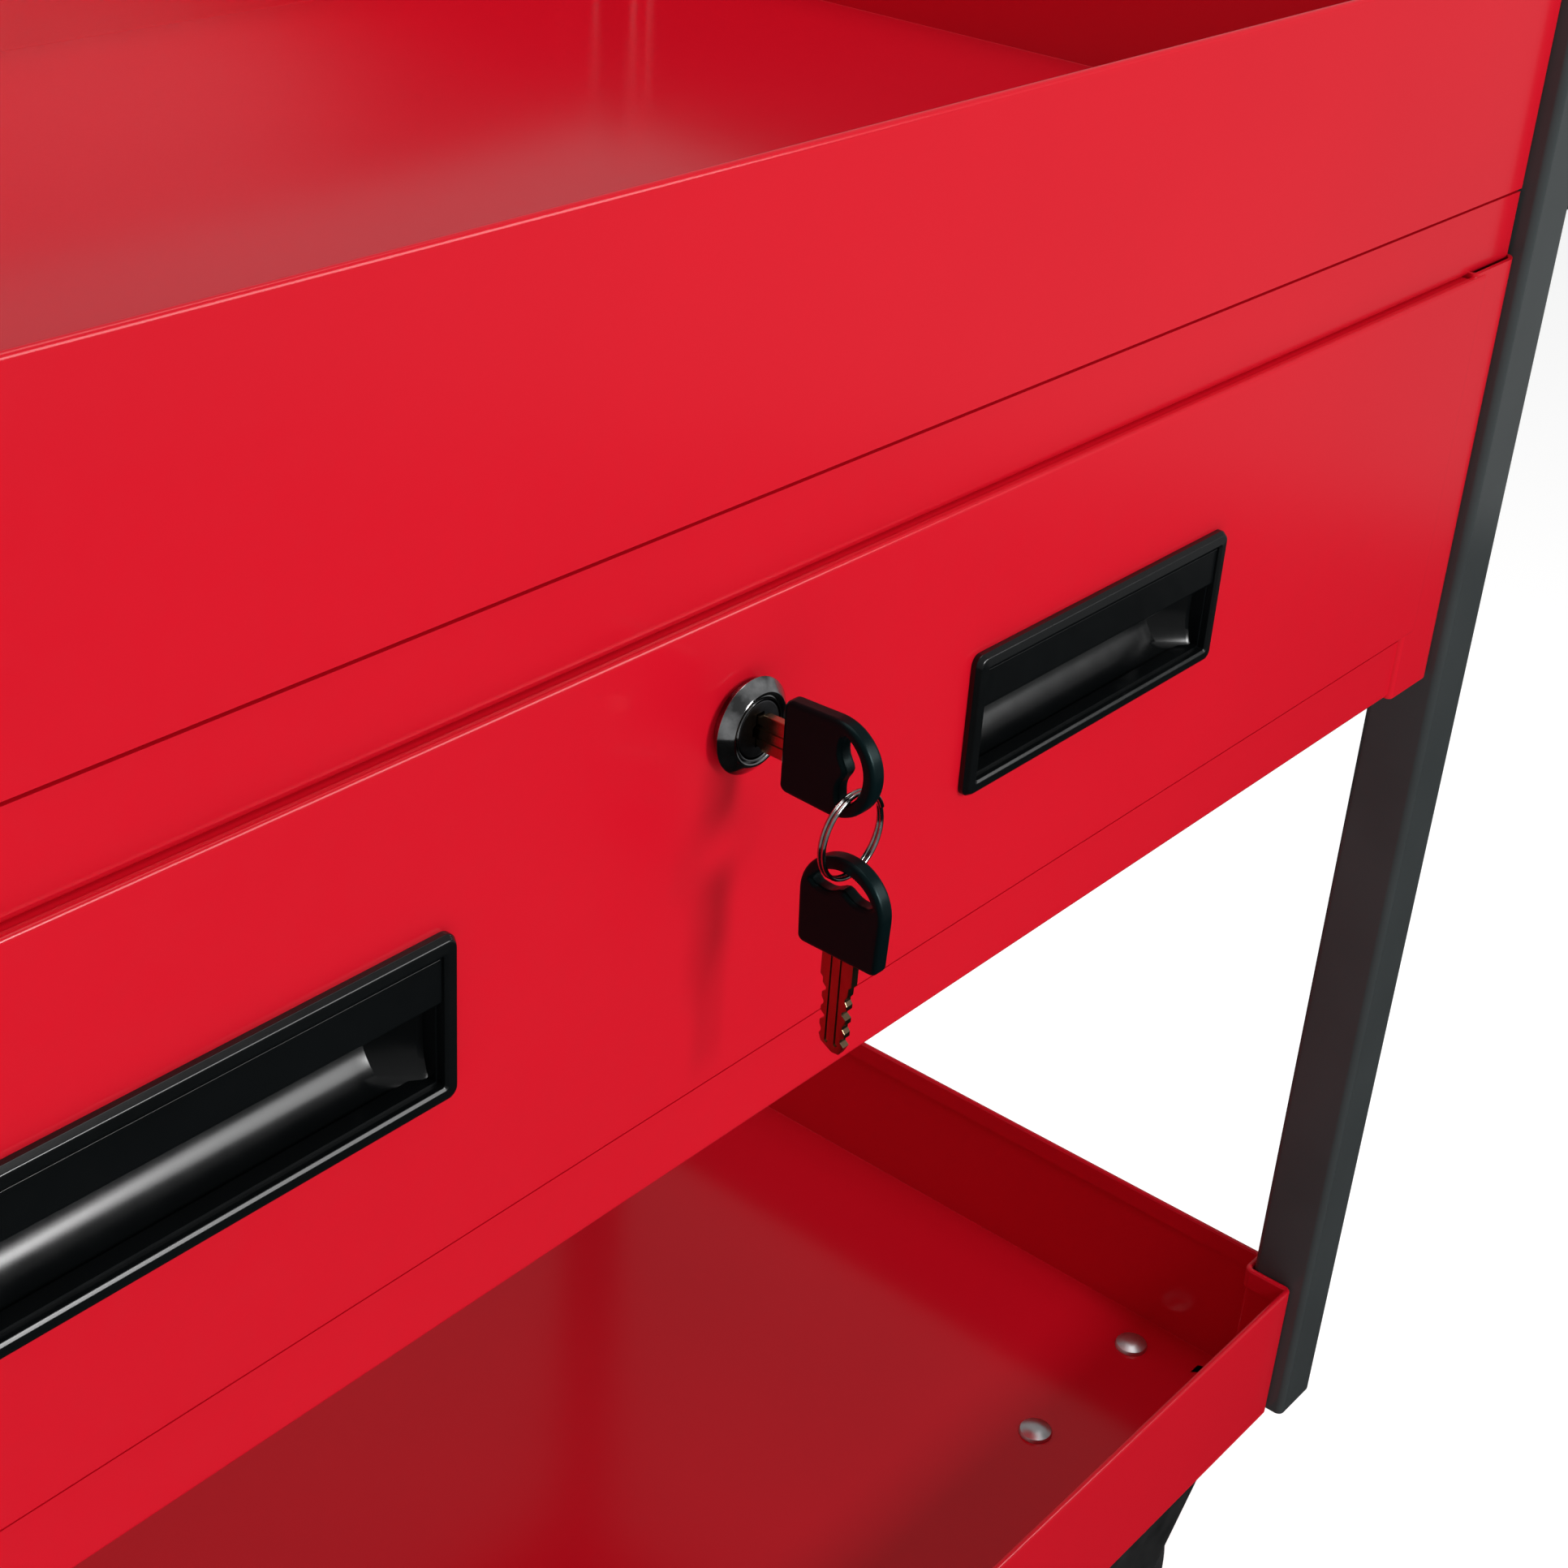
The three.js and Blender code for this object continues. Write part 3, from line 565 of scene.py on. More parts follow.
def recessed_pull(node, c):
    """A raised frame, a plate to pull on, and under it a scoop whose back wall slopes to the floor."""
    x, z = mm(c.x), mm(c.z)
    bm = bmesh.new()
    rim = fillet([(0.1, -0.05), (0.1, -1.5), (1.0, -2.9), (3.5, -3.1), (PULL_RIM, -2.6), (PULL_RIM, -0.6)],
                 [0, 0.5, 0.6, 0.4, 0.3, 0], 4)
    back = [(5.0, -0.6), (5.0, 3.6), (3.8, 3.6), (3.8, -0.05)]
    loops = []
    for n, y in rim + back:
        ring_at = rounded(x, z, PW - 2 * n, PH - 2 * n, max(3.0 - n * 0.6, 0.5), 6)
        loops.append([(px, fy + y, pz) for px, pz in ring_at])
    skin(bm, loops, wrap=True)
    half, top, low = PW / 2 - PULL_RIM, z + PH / 2 - PULL_RIM, z - PH / 2 + PULL_RIM
    lip = z + PULL_LIP
    plate = fillet([(fy + 0.6, top + 0.3), (fy + PULL_PLATE_Y, top + 0.3), (fy + PULL_PLATE_Y, lip),
                    (fy + 0.6, lip + 0.6)], [0, 0.2, 0.9, 0.8], 6, closed=True)
    prism(bm, plate, "X", x - half - 0.3, x + half + 0.3)
    bead = fillet([(fy + PULL_PLATE_Y + 0.1, top - 1.0), (fy + PULL_PLATE_Y - 0.35, top - 0.95),
                   (fy + PULL_PLATE_Y - 0.35, top - 0.55), (fy + PULL_PLATE_Y + 0.1, top - 0.5)],
                  0.12, 3, closed=True)
    prism(bm, bead, "X", x - half + 0.8, x + half - 0.8)
    path = fillet([(0.6, 13.0), (13.5, 13.0), (13.5, low - z - 0.3), (-0.4, low - z - 0.7)], [0, 3, 12, 0], 24)
    shell = thicken(path, 1.5)
    stations = [(-half, 0.25), (-half + 2.0, 0.30), (-half + 9.0, 0.97), (-half + 12.0, 1.0),
                (half - 12.0, 1.0), (half - 9.0, 0.97), (half - 2.0, 0.30), (half, 0.25)]
    skin(bm, [[(x + dx, fy - 0.4 + (y + 0.4) * k, z + h) for y, h in shell] for dx, k in stations])
    wall = [(fy - 0.4 + (y + 0.4) * 0.3, z + h) for y, h in path]
    for a, b in ((x - half - 1.2, x - half + 0.15), (x + half - 0.15, x + half + 1.2)):
        prism(bm, wall, "X", a, b)
    return finish_mesh(bm, node + "_moulding", "pull_plastic", "drawer", replaces=(node,))


for node, c in PULLS.items():
    recessed_pull(node, c)


# ---- lock --------------------------------------------------------------------------------------
bm = bmesh.new()
bezel = [(7.15, -4.6), (7.3, -5.0), (7.5, -5.05), (7.75, -4.65), (8.0, -4.6), (8.2, -5.15), (8.5, -5.3), (9.0, -5.3),
         (9.3, -5.1), (11.6, -2.95), (11.8, -2.6), (11.7, -2.3), (10.0, -0.1), (9.4, -0.1), (9.4, 23.5), (7.15, 23.5)]
lathe(bm, bezel, "Y", LOCK, 96)
finish_mesh(bm, "lock_bezel", "lock_chrome", "drawer", replaces=("lock_housing",), sharp=24)

bm = bmesh.new()
lathe(bm, [(0, -4.9), (6.5, -4.9), (6.8, -4.75), (6.9, -4.4), (6.9, 24), (0, 24)], "Y", LOCK, 72, closed=False)
plug = finish_mesh(bm, "lock_plug_face", "lock_face", "lock_cylinder", slot="lock_chrome", replaces=("lock_plug",))
lx, lz = mm(LOCK.x), mm(LOCK.z)
keyway = [(lx - 1.35, lz - 4.2), (lx + 1.35, lz - 4.2), (lx + 1.35, lz - 1.7), (lx + 2.4, lz - 1.0),
          (lx + 2.4, lz + 1.0), (lx + 1.35, lz + 1.7), (lx + 1.35, lz + 4.2), (lx - 1.35, lz + 4.2),
          (lx - 1.35, lz + 1.7), (lx - 2.4, lz + 1.0), (lx - 2.4, lz - 1.0), (lx - 1.35, lz - 1.7)]
cut(plug, [tool_prism(keyway, "Y", fy - 7, fy + 21.5)])


# ---- keys --------------------------------------------------------------------------------------
HEAD_L, HEAD_H = 26.0, 12.0


def key_outline():
    """Head in (u, v): straight shoulders at the blade, round bow at the far end."""
    c = HEAD_L - HEAD_H
    corner = fillet([(c, -HEAD_H + 0.2), (0, -HEAD_H + 0.5), (0, HEAD_H - 0.5), (c, HEAD_H - 0.2)],
                    [0, 2.0, 2.0, 0], 5)
    bow = arc(c, 0, HEAD_H, pi / 2, -pi / 2, 28)
    return corner[1:-1] + bow


def key_window():
    """A crescent in the bow whose inner side swells in the middle."""
    c = HEAD_L - HEAD_H - 1.2
    r, reach = HEAD_H - 2.2, radians(62)
    outer = arc(c, 0, r, -reach, reach, 20)
    inner = []
    for i in range(1, 16):
        v = r * sin(reach) * (1 - 2 * i / 16)
        swell = 2.0 * math.exp(-(v / 2.6) ** 2)
        inner.append((c + 3.3 + swell + 0.9 * (abs(v) / r) ** 3, v))
    return outer + inner


def place_key(name, body, matrix, nodes):
    head = flat_plate(name + "_head_moulding", key_outline(), [key_window()], 4.5, 1.15, "key_plastic", body, matrix,
                      seg=5, replaces=(nodes[0],))
    full = []
    for side, first, depths in ((1, -8.4, (2.7, 3.1, 2.5, 3.2)), (-1, -9.2, (3.1, 2.5, 3.0, 2.7))):
        edge = [(7, 4.6), (-6.3, 4.6), (-7, 3.8)]
        for i, depth in enumerate(depths):
            u = first - 3.8 * i
            edge += [(u, 3.75), (u - 1.0, depth), (u - 1.7, depth), (u - 2.6, 3.75)]
        edge += [(-24.2, 3.0)] if side > 0 else [(-25.8, 2.4), (-26, 0.4)]
        full += edge if side > 0 else [(u, -v) for u, v in reversed(edge)]
    blade = flat_plate(name + "_blade_plate", full, [], 2.2, 0.18, "key_metal", body, matrix, seg=1,
                       replaces=(nodes[1],))
    # two milled grooves on each face
    grooves = []
    for v in (-1.35, 1.35):
        for s in (-1, 1):
            groove = tool_prism(rounded(-11, v, 26, 1.1, 0.5, 4), "Z", s * 0.75, s * 2.0)
            groove.data.transform(matrix)
            grooves.append(groove)
    cut(blade, grooves)
    return head


key_root = Vector((LOCK.x, lohi("key_head")[1].y, LOCK.z))
place_key("key", "key", axes_matrix((0, -1, 0), (0, 0, 1), (-1, 0, 0), key_root), ("key_head", "key_blade"))
spare_lo, spare_hi = lohi("spare_key_head")
spare_root = Vector((LOCK.x, (spare_lo.y + spare_hi.y) / 2, spare_lo.z))
place_key("spare_key", "spare_key", axes_matrix((0, 0, 1), (0, 1, 0), (-1, 0, 0), spare_root),
          ("spare_key_head", "spare_key_blade"))

# split ring: two turns of wire side by side, the ends overlapping
ring = mid("split_ring")
turns = []
for i in range(2 * 64 + 1):
    t = i / 64
    a = radians(20) + 2 * pi * t
    shift = 0.55 * math.tanh((t - 1) * 9)
    turns.append(ring + Vector((10.4 * cos(a), shift, 10.4 * sin(a))) * MM)
bm = bmesh.new()
tube(bm, turns, 0.52 * MM, 12)
finish_mesh(bm, "split_ring_wire", "ring_steel", "ring", replaces=("split_ring",), sharp=60)


# ---- lock, behind the drawer front ---------------------------------------------------------------
def hexagon(r, turn=0.0):
    return [(r * cos(turn + i * pi / 3), r * sin(turn + i * pi / 3)) for i in range(6)]


def facing(axis, origin):
    """Puts a plate drawn in (a, b), with its thickness along c, square to an axis."""
    if axis == "Y":
        return axes_matrix((1, 0, 0), (0, 0, 1), (0, -1, 0), origin)
    if axis == "X":
        return axes_matrix((0, 1, 0), (0, 0, 1), (1, 0, 0), origin)
    return axes_matrix((1, 0, 0), (0, 1, 0), (0, 0, 1), origin)


nut_lo, nut_hi = lohi("lock_nut")
flat_plate("lock_nut_hex", hexagon(13.6), [circle(0, 0, 9.7)], mm(nut_hi.y - nut_lo.y), 0.5, "zinc_steel", "drawer",
           facing("Y", (nut_lo + nut_hi) / 2), replaces=("lock_nut",))
cam_lo, cam_hi = lohi("lock_cam")
cam_outline = fillet([(0, -8), (24, -6.2), (26, -4), (26, 4), (24, 6.2), (0, 8)], [0, 2, 2, 2, 2, 0], 4)
cam_outline = cam_outline[1:-1] + arc(0, 0, 8, pi / 2, 3 * pi / 2, 20)
cam_place = facing("Y", Vector((LOCK.x, (cam_lo.y + cam_hi.y) / 2, LOCK.z))) @ Matrix.Scale(-1, 4, (0, 0, 1))
flat_plate("lock_cam_plate", cam_outline, [rounded(0, 0, 6.6, 6.6, 0.4, 2)], mm(cam_hi.y - cam_lo.y), 0.3,
           "zinc_steel", "lock_cylinder", cam_place, replaces=("lock_cam",))
tip = lohi("cam_screw")
bm = bmesh.new()
lathe(bm, [(0, 0), (4.9, 0), (5.0, 0.5), (4.6, 1.7), (3.0, 2.5), (0, 2.7)], "Y",
      Vector((LOCK.x, tip[0].y, LOCK.z)), 32, closed=False)
screw = finish_mesh(bm, "cam_screw_head", "zinc_steel", "lock_cylinder", replaces=("cam_screw",))
sy = mm(tip[1].y)
cross = [tool_prism(rounded(lx, lz, w, h, 0.2, 2), "Y", sy - 1.6, sy + 1) for w, h in ((4.6, 0.9), (0.9, 4.6))]
cut(screw, cross)


# ---- fasteners ---------------------------------------------------------------------------------
ORIGIN = Vector((0, 0, 0))


def dome(bm, place, direction, r, h):
    """A low domed head standing on place and pointing along direction."""
    rot = Vector((0, 0, 1)).rotation_difference(Vector(direction)).to_matrix().to_4x4()
    rot.translation = place
    start = len(bm.verts)
    lathe(bm, [(0, -0.2), (r, -0.2), (r, 0.25 * h), (0.93 * r, 0.55 * h), (0.6 * r, 0.9 * h), (0.25 * r, h), (0, h)],
          "Z", ORIGIN, 24, closed=False)
    bm.verts.ensure_lookup_table()
    bmesh.ops.transform(bm, matrix=rot, verts=bm.verts[start:])


def hex_bolt(bm, place, direction, af, h, washer=0.0):
    """A hexagon head with a chamfered top, on a washer if it has one."""
    rot = Vector((0, 0, 1)).rotation_difference(Vector(direction)).to_matrix().to_4x4()
    rot.translation = place
    start = len(bm.verts)
    base = 0.0
    if washer:
        lathe(bm, [(0, -0.1), (washer, -0.1), (washer, 0.9), (washer - 0.3, 1.2), (0, 1.2)], "Z", ORIGIN, 28,
              closed=False)
        base = 1.2
    r = af / math.sqrt(3)
    skin(bm, [[(x * k, y * k, z) for x, y in hexagon(r)]
              for k, z in ((1, base), (1, base + h - 0.5), (0.88, base + h))])
    bm.verts.ensure_lookup_table()
    bmesh.ops.transform(bm, matrix=rot, verts=bm.verts[start:])


HANDLE_HI = lohi("push_handle")[1]
BRACKETS = {end: lohi(f"{end}_handle_bracket") for end in ("front", "back")}
for end in ("front", "back"):
    for side, sx in (("left", -1), ("right", 1)):
        lo, hi = lohi(f"{end}_{side}_leg")
        x = (hi.x if sx > 0 else lo.x)
        y = (lo.y + hi.y) / 2
        heights = [mm(lohi("bottom_tray")[0].z) + 33, z0 + 30, z1 - 38]
        if sx < 0:
            heights.append(mm(tray_hi.z) - 37)
        bm = bmesh.new()
        for h in heights:
            dome(bm, Vector((x, y, h * MM)), (sx, 0, 0), 5.6, 2.9)
        finish_mesh(bm, f"{end}_{side}_leg_bolts", "zinc_steel", "cart")


# ---- drawer slides -----------------------------------------------------------------------------
def slide_member(node, body, web_x, lip_x, half, sheet, y0, y1, z):
    """A rolled channel with rounded corners and lips turned towards the ball track."""
    s = 1 if lip_x > web_x else -1
    path = fillet([(lip_x, z - half), (web_x, z - half), (web_x, z + half), (lip_x, z + half)], [0, 1.8, 1.8, 0], 5)
    bm = bmesh.new()
    prism(bm, thicken(path, -sheet * s), "Y", y0, y1)
    return finish_mesh(bm, node + "_rolled", "zinc_steel", body, replaces=(node,))


for side, s in (("left", -1), ("right", 1)):
    for part, body in (("mount", "cart"), ("outer", "cart"), ("middle", side + "_slide"), ("inner", "drawer")):
        node = f"{side}_slide_{part}"
        lo, hi = lohi(node)
        far, near = (mm(hi.x), mm(lo.x)) if s > 0 else (mm(lo.x), mm(hi.x))
        web, lip = (near, far) if part in ("mount", "inner") else (far, near)
        slide_member(node, body, web, lip, mm(hi.z - lo.z) / 2, 1.5 if part == "mount" else 1.2, mm(lo.y), mm(hi.y),
                     mm(hi.z + lo.z) / 2)
    mlo, mhi = lohi(f"{side}_slide_middle")
    ilo, ihi = lohi(f"{side}_slide_inner")
    ball_x = mm((max(mlo.x, ilo.x) + min(mhi.x, ihi.x)) / 2)
    for label, body, up in (("inner", side + "_slide", mm(ihi.z) + 1.12), ("outer", "cart", mm(mhi.z) + 1.12)):
        bm = bmesh.new()
        zc = mm((ilo.z + ihi.z) / 2)
        for k in range(16):
            for h in (up, 2 * zc - up):
                place = Matrix.Translation(Vector((ball_x, mm(mlo.y) + 24 + k * 10.5, h)) * MM)
                bmesh.ops.create_icosphere(bm, subdivisions=2, radius=1.05 * MM, matrix=place)
        finish_mesh(bm, f"{side}_slide_{label}_balls", "ring_steel", body, slot="zinc_steel", sharp=80)
    bm = bmesh.new()
    for k in (0.12, 0.5, 0.88):
        y = ilo.y + (ihi.y - ilo.y) * k
        web_face = (ilo.x if s > 0 else ihi.x) + s * 1.2 * MM
        dome(bm, Vector((web_face, y, (ilo.z + ihi.z) / 2)), (s, 0, 0), 3.6, 1.5)
    finish_mesh(bm, f"{side}_slide_screws", "zinc_steel", "drawer")


# ---- push handle -------------------------------------------------------------------------------
TUBE_R = 11.0
reach = HANDLE_HI.x - TUBE_R * MM
bar_z = HANDLE_HI.z - TUBE_R * MM
root_x = BRACKETS["front"][1].x
root_z = mid("front_handle_bracket").z + 5 * MM
arm_y = {end: (b[0].y + b[1].y) / 2 for end, b in BRACKETS.items()}
slope = (bar_z - root_z) / (reach - root_x)


def handle_path():
    def corner_points(sign, y):
        near = Vector((reach - 0.040, y, root_z + slope * (reach - 0.040 - root_x)))
        knee = Vector((reach, y, bar_z))
        far = Vector((reach, y + sign * 0.040, bar_z))
        return [near.lerp(knee, t).lerp(knee.lerp(far, t), t) for t in [i / 16 for i in range(17)]]
    front = corner_points(1, arm_y["front"])
    back = corner_points(-1, arm_y["back"])
    root = Vector((root_x, arm_y["front"], root_z))
    first = [root.lerp(front[0], i / 6) for i in range(6)]
    bar = [front[-1].lerp(back[-1], i / 12) for i in range(1, 12)]
    return first + front + bar + back[::-1] + [Vector((p.x, arm_y["back"], p.z)) for p in reversed(first)]


bm = bmesh.new()
tube(bm, handle_path(), TUBE_R * MM, 32)
finish_mesh(bm, "push_handle_tube", "leg_black", "cart", replaces=("push_handle",), sharp=60)

grip_lo, grip_hi = lohi("handle_grip")
length = mm(grip_hi.y - grip_lo.y)
sleeve = [(11.25, -length / 2), (13.4, -length / 2), (14.2, -length / 2 + 0.8), (14.2, -length / 2 + 6)]
ribs = int((length - 24) / 7)
for i in range(ribs):
    y = -(ribs - 1) * 3.5 + i * 7
    sleeve += [(14.2, y - 2.2), (13.2, y - 1.4), (13.2, y + 1.4), (14.2, y + 2.2)]
sleeve += [(14.2, length / 2 - 6), (14.2, length / 2 - 0.8), (13.4, length / 2), (11.25, length / 2)]
bm = bmesh.new()
lathe(bm, sleeve, "Y", (grip_lo + grip_hi) / 2, 48)
finish_mesh(bm, "handle_grip_sleeve", "grip_rubber", "cart", replaces=("handle_grip",), sharp=35)

for end, (lo, hi) in BRACKETS.items():
    c = (lo + hi) / 2
    w, h = mm(hi.y - lo.y), mm(hi.z - lo.z)
    y = arm_y[end]
    flat_plate(f"{end}_handle_plate", rounded(0, 0, w, h, 4), [], 3.0, 0.5, "leg_black", "cart", facing("X", c),
               replaces=(f"{end}_handle_bracket",))
    bm = bmesh.new()
    for dz in (-h / 2 + 9, h / 2 - 7.5):
        hex_bolt(bm, Vector((hi.x, y, c.z + dz * MM)), (1, 0, 0), 10, 4, 6.2)
    finish_mesh(bm, f"{end}_handle_bolts", "zinc_steel", "cart")
    bm = bmesh.new()
    weld = [(TUBE_R - 1, 0.0), (TUBE_R + 2.6, 0.0), (TUBE_R + 1.9, 1.2), (TUBE_R + 0.2, 2.4), (TUBE_R - 1, 2.4)]
    lathe(bm, weld, "Z", ORIGIN, 32)
    spin = Matrix.Rotation(pi / 2, 4, "Y")
    spin.translation = Vector((hi.x, y, root_z))
    finish_mesh(bm, f"{end}_handle_weld", "leg_black", "cart", matrix=spin)


# ---- casters -----------------------------------------------------------------------------------
def wheel(prefix, centre):
    """A soft tread bonded to a ribbed hub, on a bolt with a lock nut."""
    body = prefix + "_wheel"
    tyre_lo, tyre_hi = lohi(prefix + "_tyre")
    R, w = mm(tyre_hi.z - tyre_lo.z) / 2, mm(tyre_hi.y - tyre_lo.y) / 2
    tread = fillet([(50.3, -w + 2), (54, -w), (R - 4.5, -w), (R - 0.3, -w + 6), (R, 0), (R - 0.3, w - 6),
                    (R - 4.5, w), (54, w), (50.3, w - 2)], [0, 1.5, 2.5, 5, 60, 5, 2.5, 1.5, 0], 5)
    bm = bmesh.new()
    lathe(bm, tread, "Y", centre, 80)
    finish_mesh(bm, prefix + "_tread", "tyre_rubber", body, replaces=(prefix + "_tyre",))
    bm = bmesh.new()
    hub = fillet([(6.4, -w - 2), (14.5, -w - 2), (16.5, -3.5), (41, -3.0), (44, -w + 2), (50, -w + 2), (50, w - 2),
                  (44, w - 2), (41, 3.0), (16.5, 3.5), (14.5, w + 2), (6.4, w + 2)],
                 [0, 1, 3, 3, 1, 1, 1, 1, 3, 3, 1, 0], 4)
    lathe(bm, hub, "Y", centre, 72)
    for k in range(10):
        a = 2 * pi * k / 10 + 0.2
        for s in (-1, 1):
            def spoke(r, t, y):
                return bm.verts.new(Vector((r * cos(a) - t * sin(a), s * y, r * sin(a) + t * cos(a))) * MM + centre)
            rib = ((15.0, -1.1, w - 0.5), (42.6, -1.1, w - 3.2), (42.6, 1.1, w - 3.2), (15.0, 1.1, w - 0.5))
            top = [spoke(r, t, y) for r, t, y in rib]
            low = [spoke(r, t * 1.4, 2.0) for r, t, y in rib]
            bm.faces.new(top)
            bm.faces.new(list(reversed(low)))
            for i in range(4):
                j = (i + 1) % 4
                bm.faces.new((top[i], top[j], low[j], low[i]))
    finish_mesh(bm, prefix + "_hub_moulding", "hub_plastic", body, replaces=(prefix + "_hub",), sharp=28)


def axle(prefix, body, centre):
    lo, hi = lohi(prefix + "_axle")
    out = mm(hi.y - lo.y) / 2 - 5
    bm = bmesh.new()
    lathe(bm, [(0, -out), (5.9, -out), (5.9, out), (0, out)], "Y", centre, 32, closed=False)
    hex_bolt(bm, centre + Vector((0, -out * MM, 0)), (0, -1, 0), 16, 4.0, 9.0)
    hex_bolt(bm, centre + Vector((0, out * MM, 0)), (0, 1, 0), 16, 4.4, 9.0)
    finish_mesh(bm, prefix + "_axle_bolt", "zinc_steel", body, replaces=(prefix + "_axle",))


def top_plate(name, x, y, z_top, body, **extra):
    """The stamped mounting plate with its four slots and bolts up into the tray."""
    slots = []
    for sx in (-1, 1):
        for sy in (-1, 1):
            slots.append(rounded(sx * 36, sy * 24, 11, 7.4, 3.6, 5))
    centre = Vector((x, y, z_top - 1.5)) * MM
    flat_plate(name, rounded(0, 0, 95, 68, 7), slots, 3.0, 0.5, "zinc_steel", body, facing("Z", centre), **extra)
    bm = bmesh.new()
    for sx in (-1, 1):
        for sy in (-1, 1):
            p = Vector((x + sx * 36, y + sy * 24, 0)) * MM
            hex_bolt(bm, p + Vector((0, 0, (z_top - 3) * MM)), (0, 0, -1), 10, 5, 6.6)
            lathe(bm, [(0, -4), (3.4, -4), (3.4, 4), (0, 4)], "Z", p + Vector((0, 0, z_top * MM)), 16, closed=False)
            dome(bm, p + Vector((0, 0, lohi("bottom_tray")[0].z + SHEET * MM)), (0, 0, 1), 7.0, 3.0)
    finish_mesh(bm, name + "_bolts", "zinc_steel", body)


def side_plate(name, outline, y, thick, body, edge=0.6, **extra):
    """A pressed fork cheek, drawn in (x, z) of the row frame."""
    flat_plate(name, outline, [], thick, edge, "zinc_steel", body, facing("Y", Vector((0, y * MM, 0))), **extra)


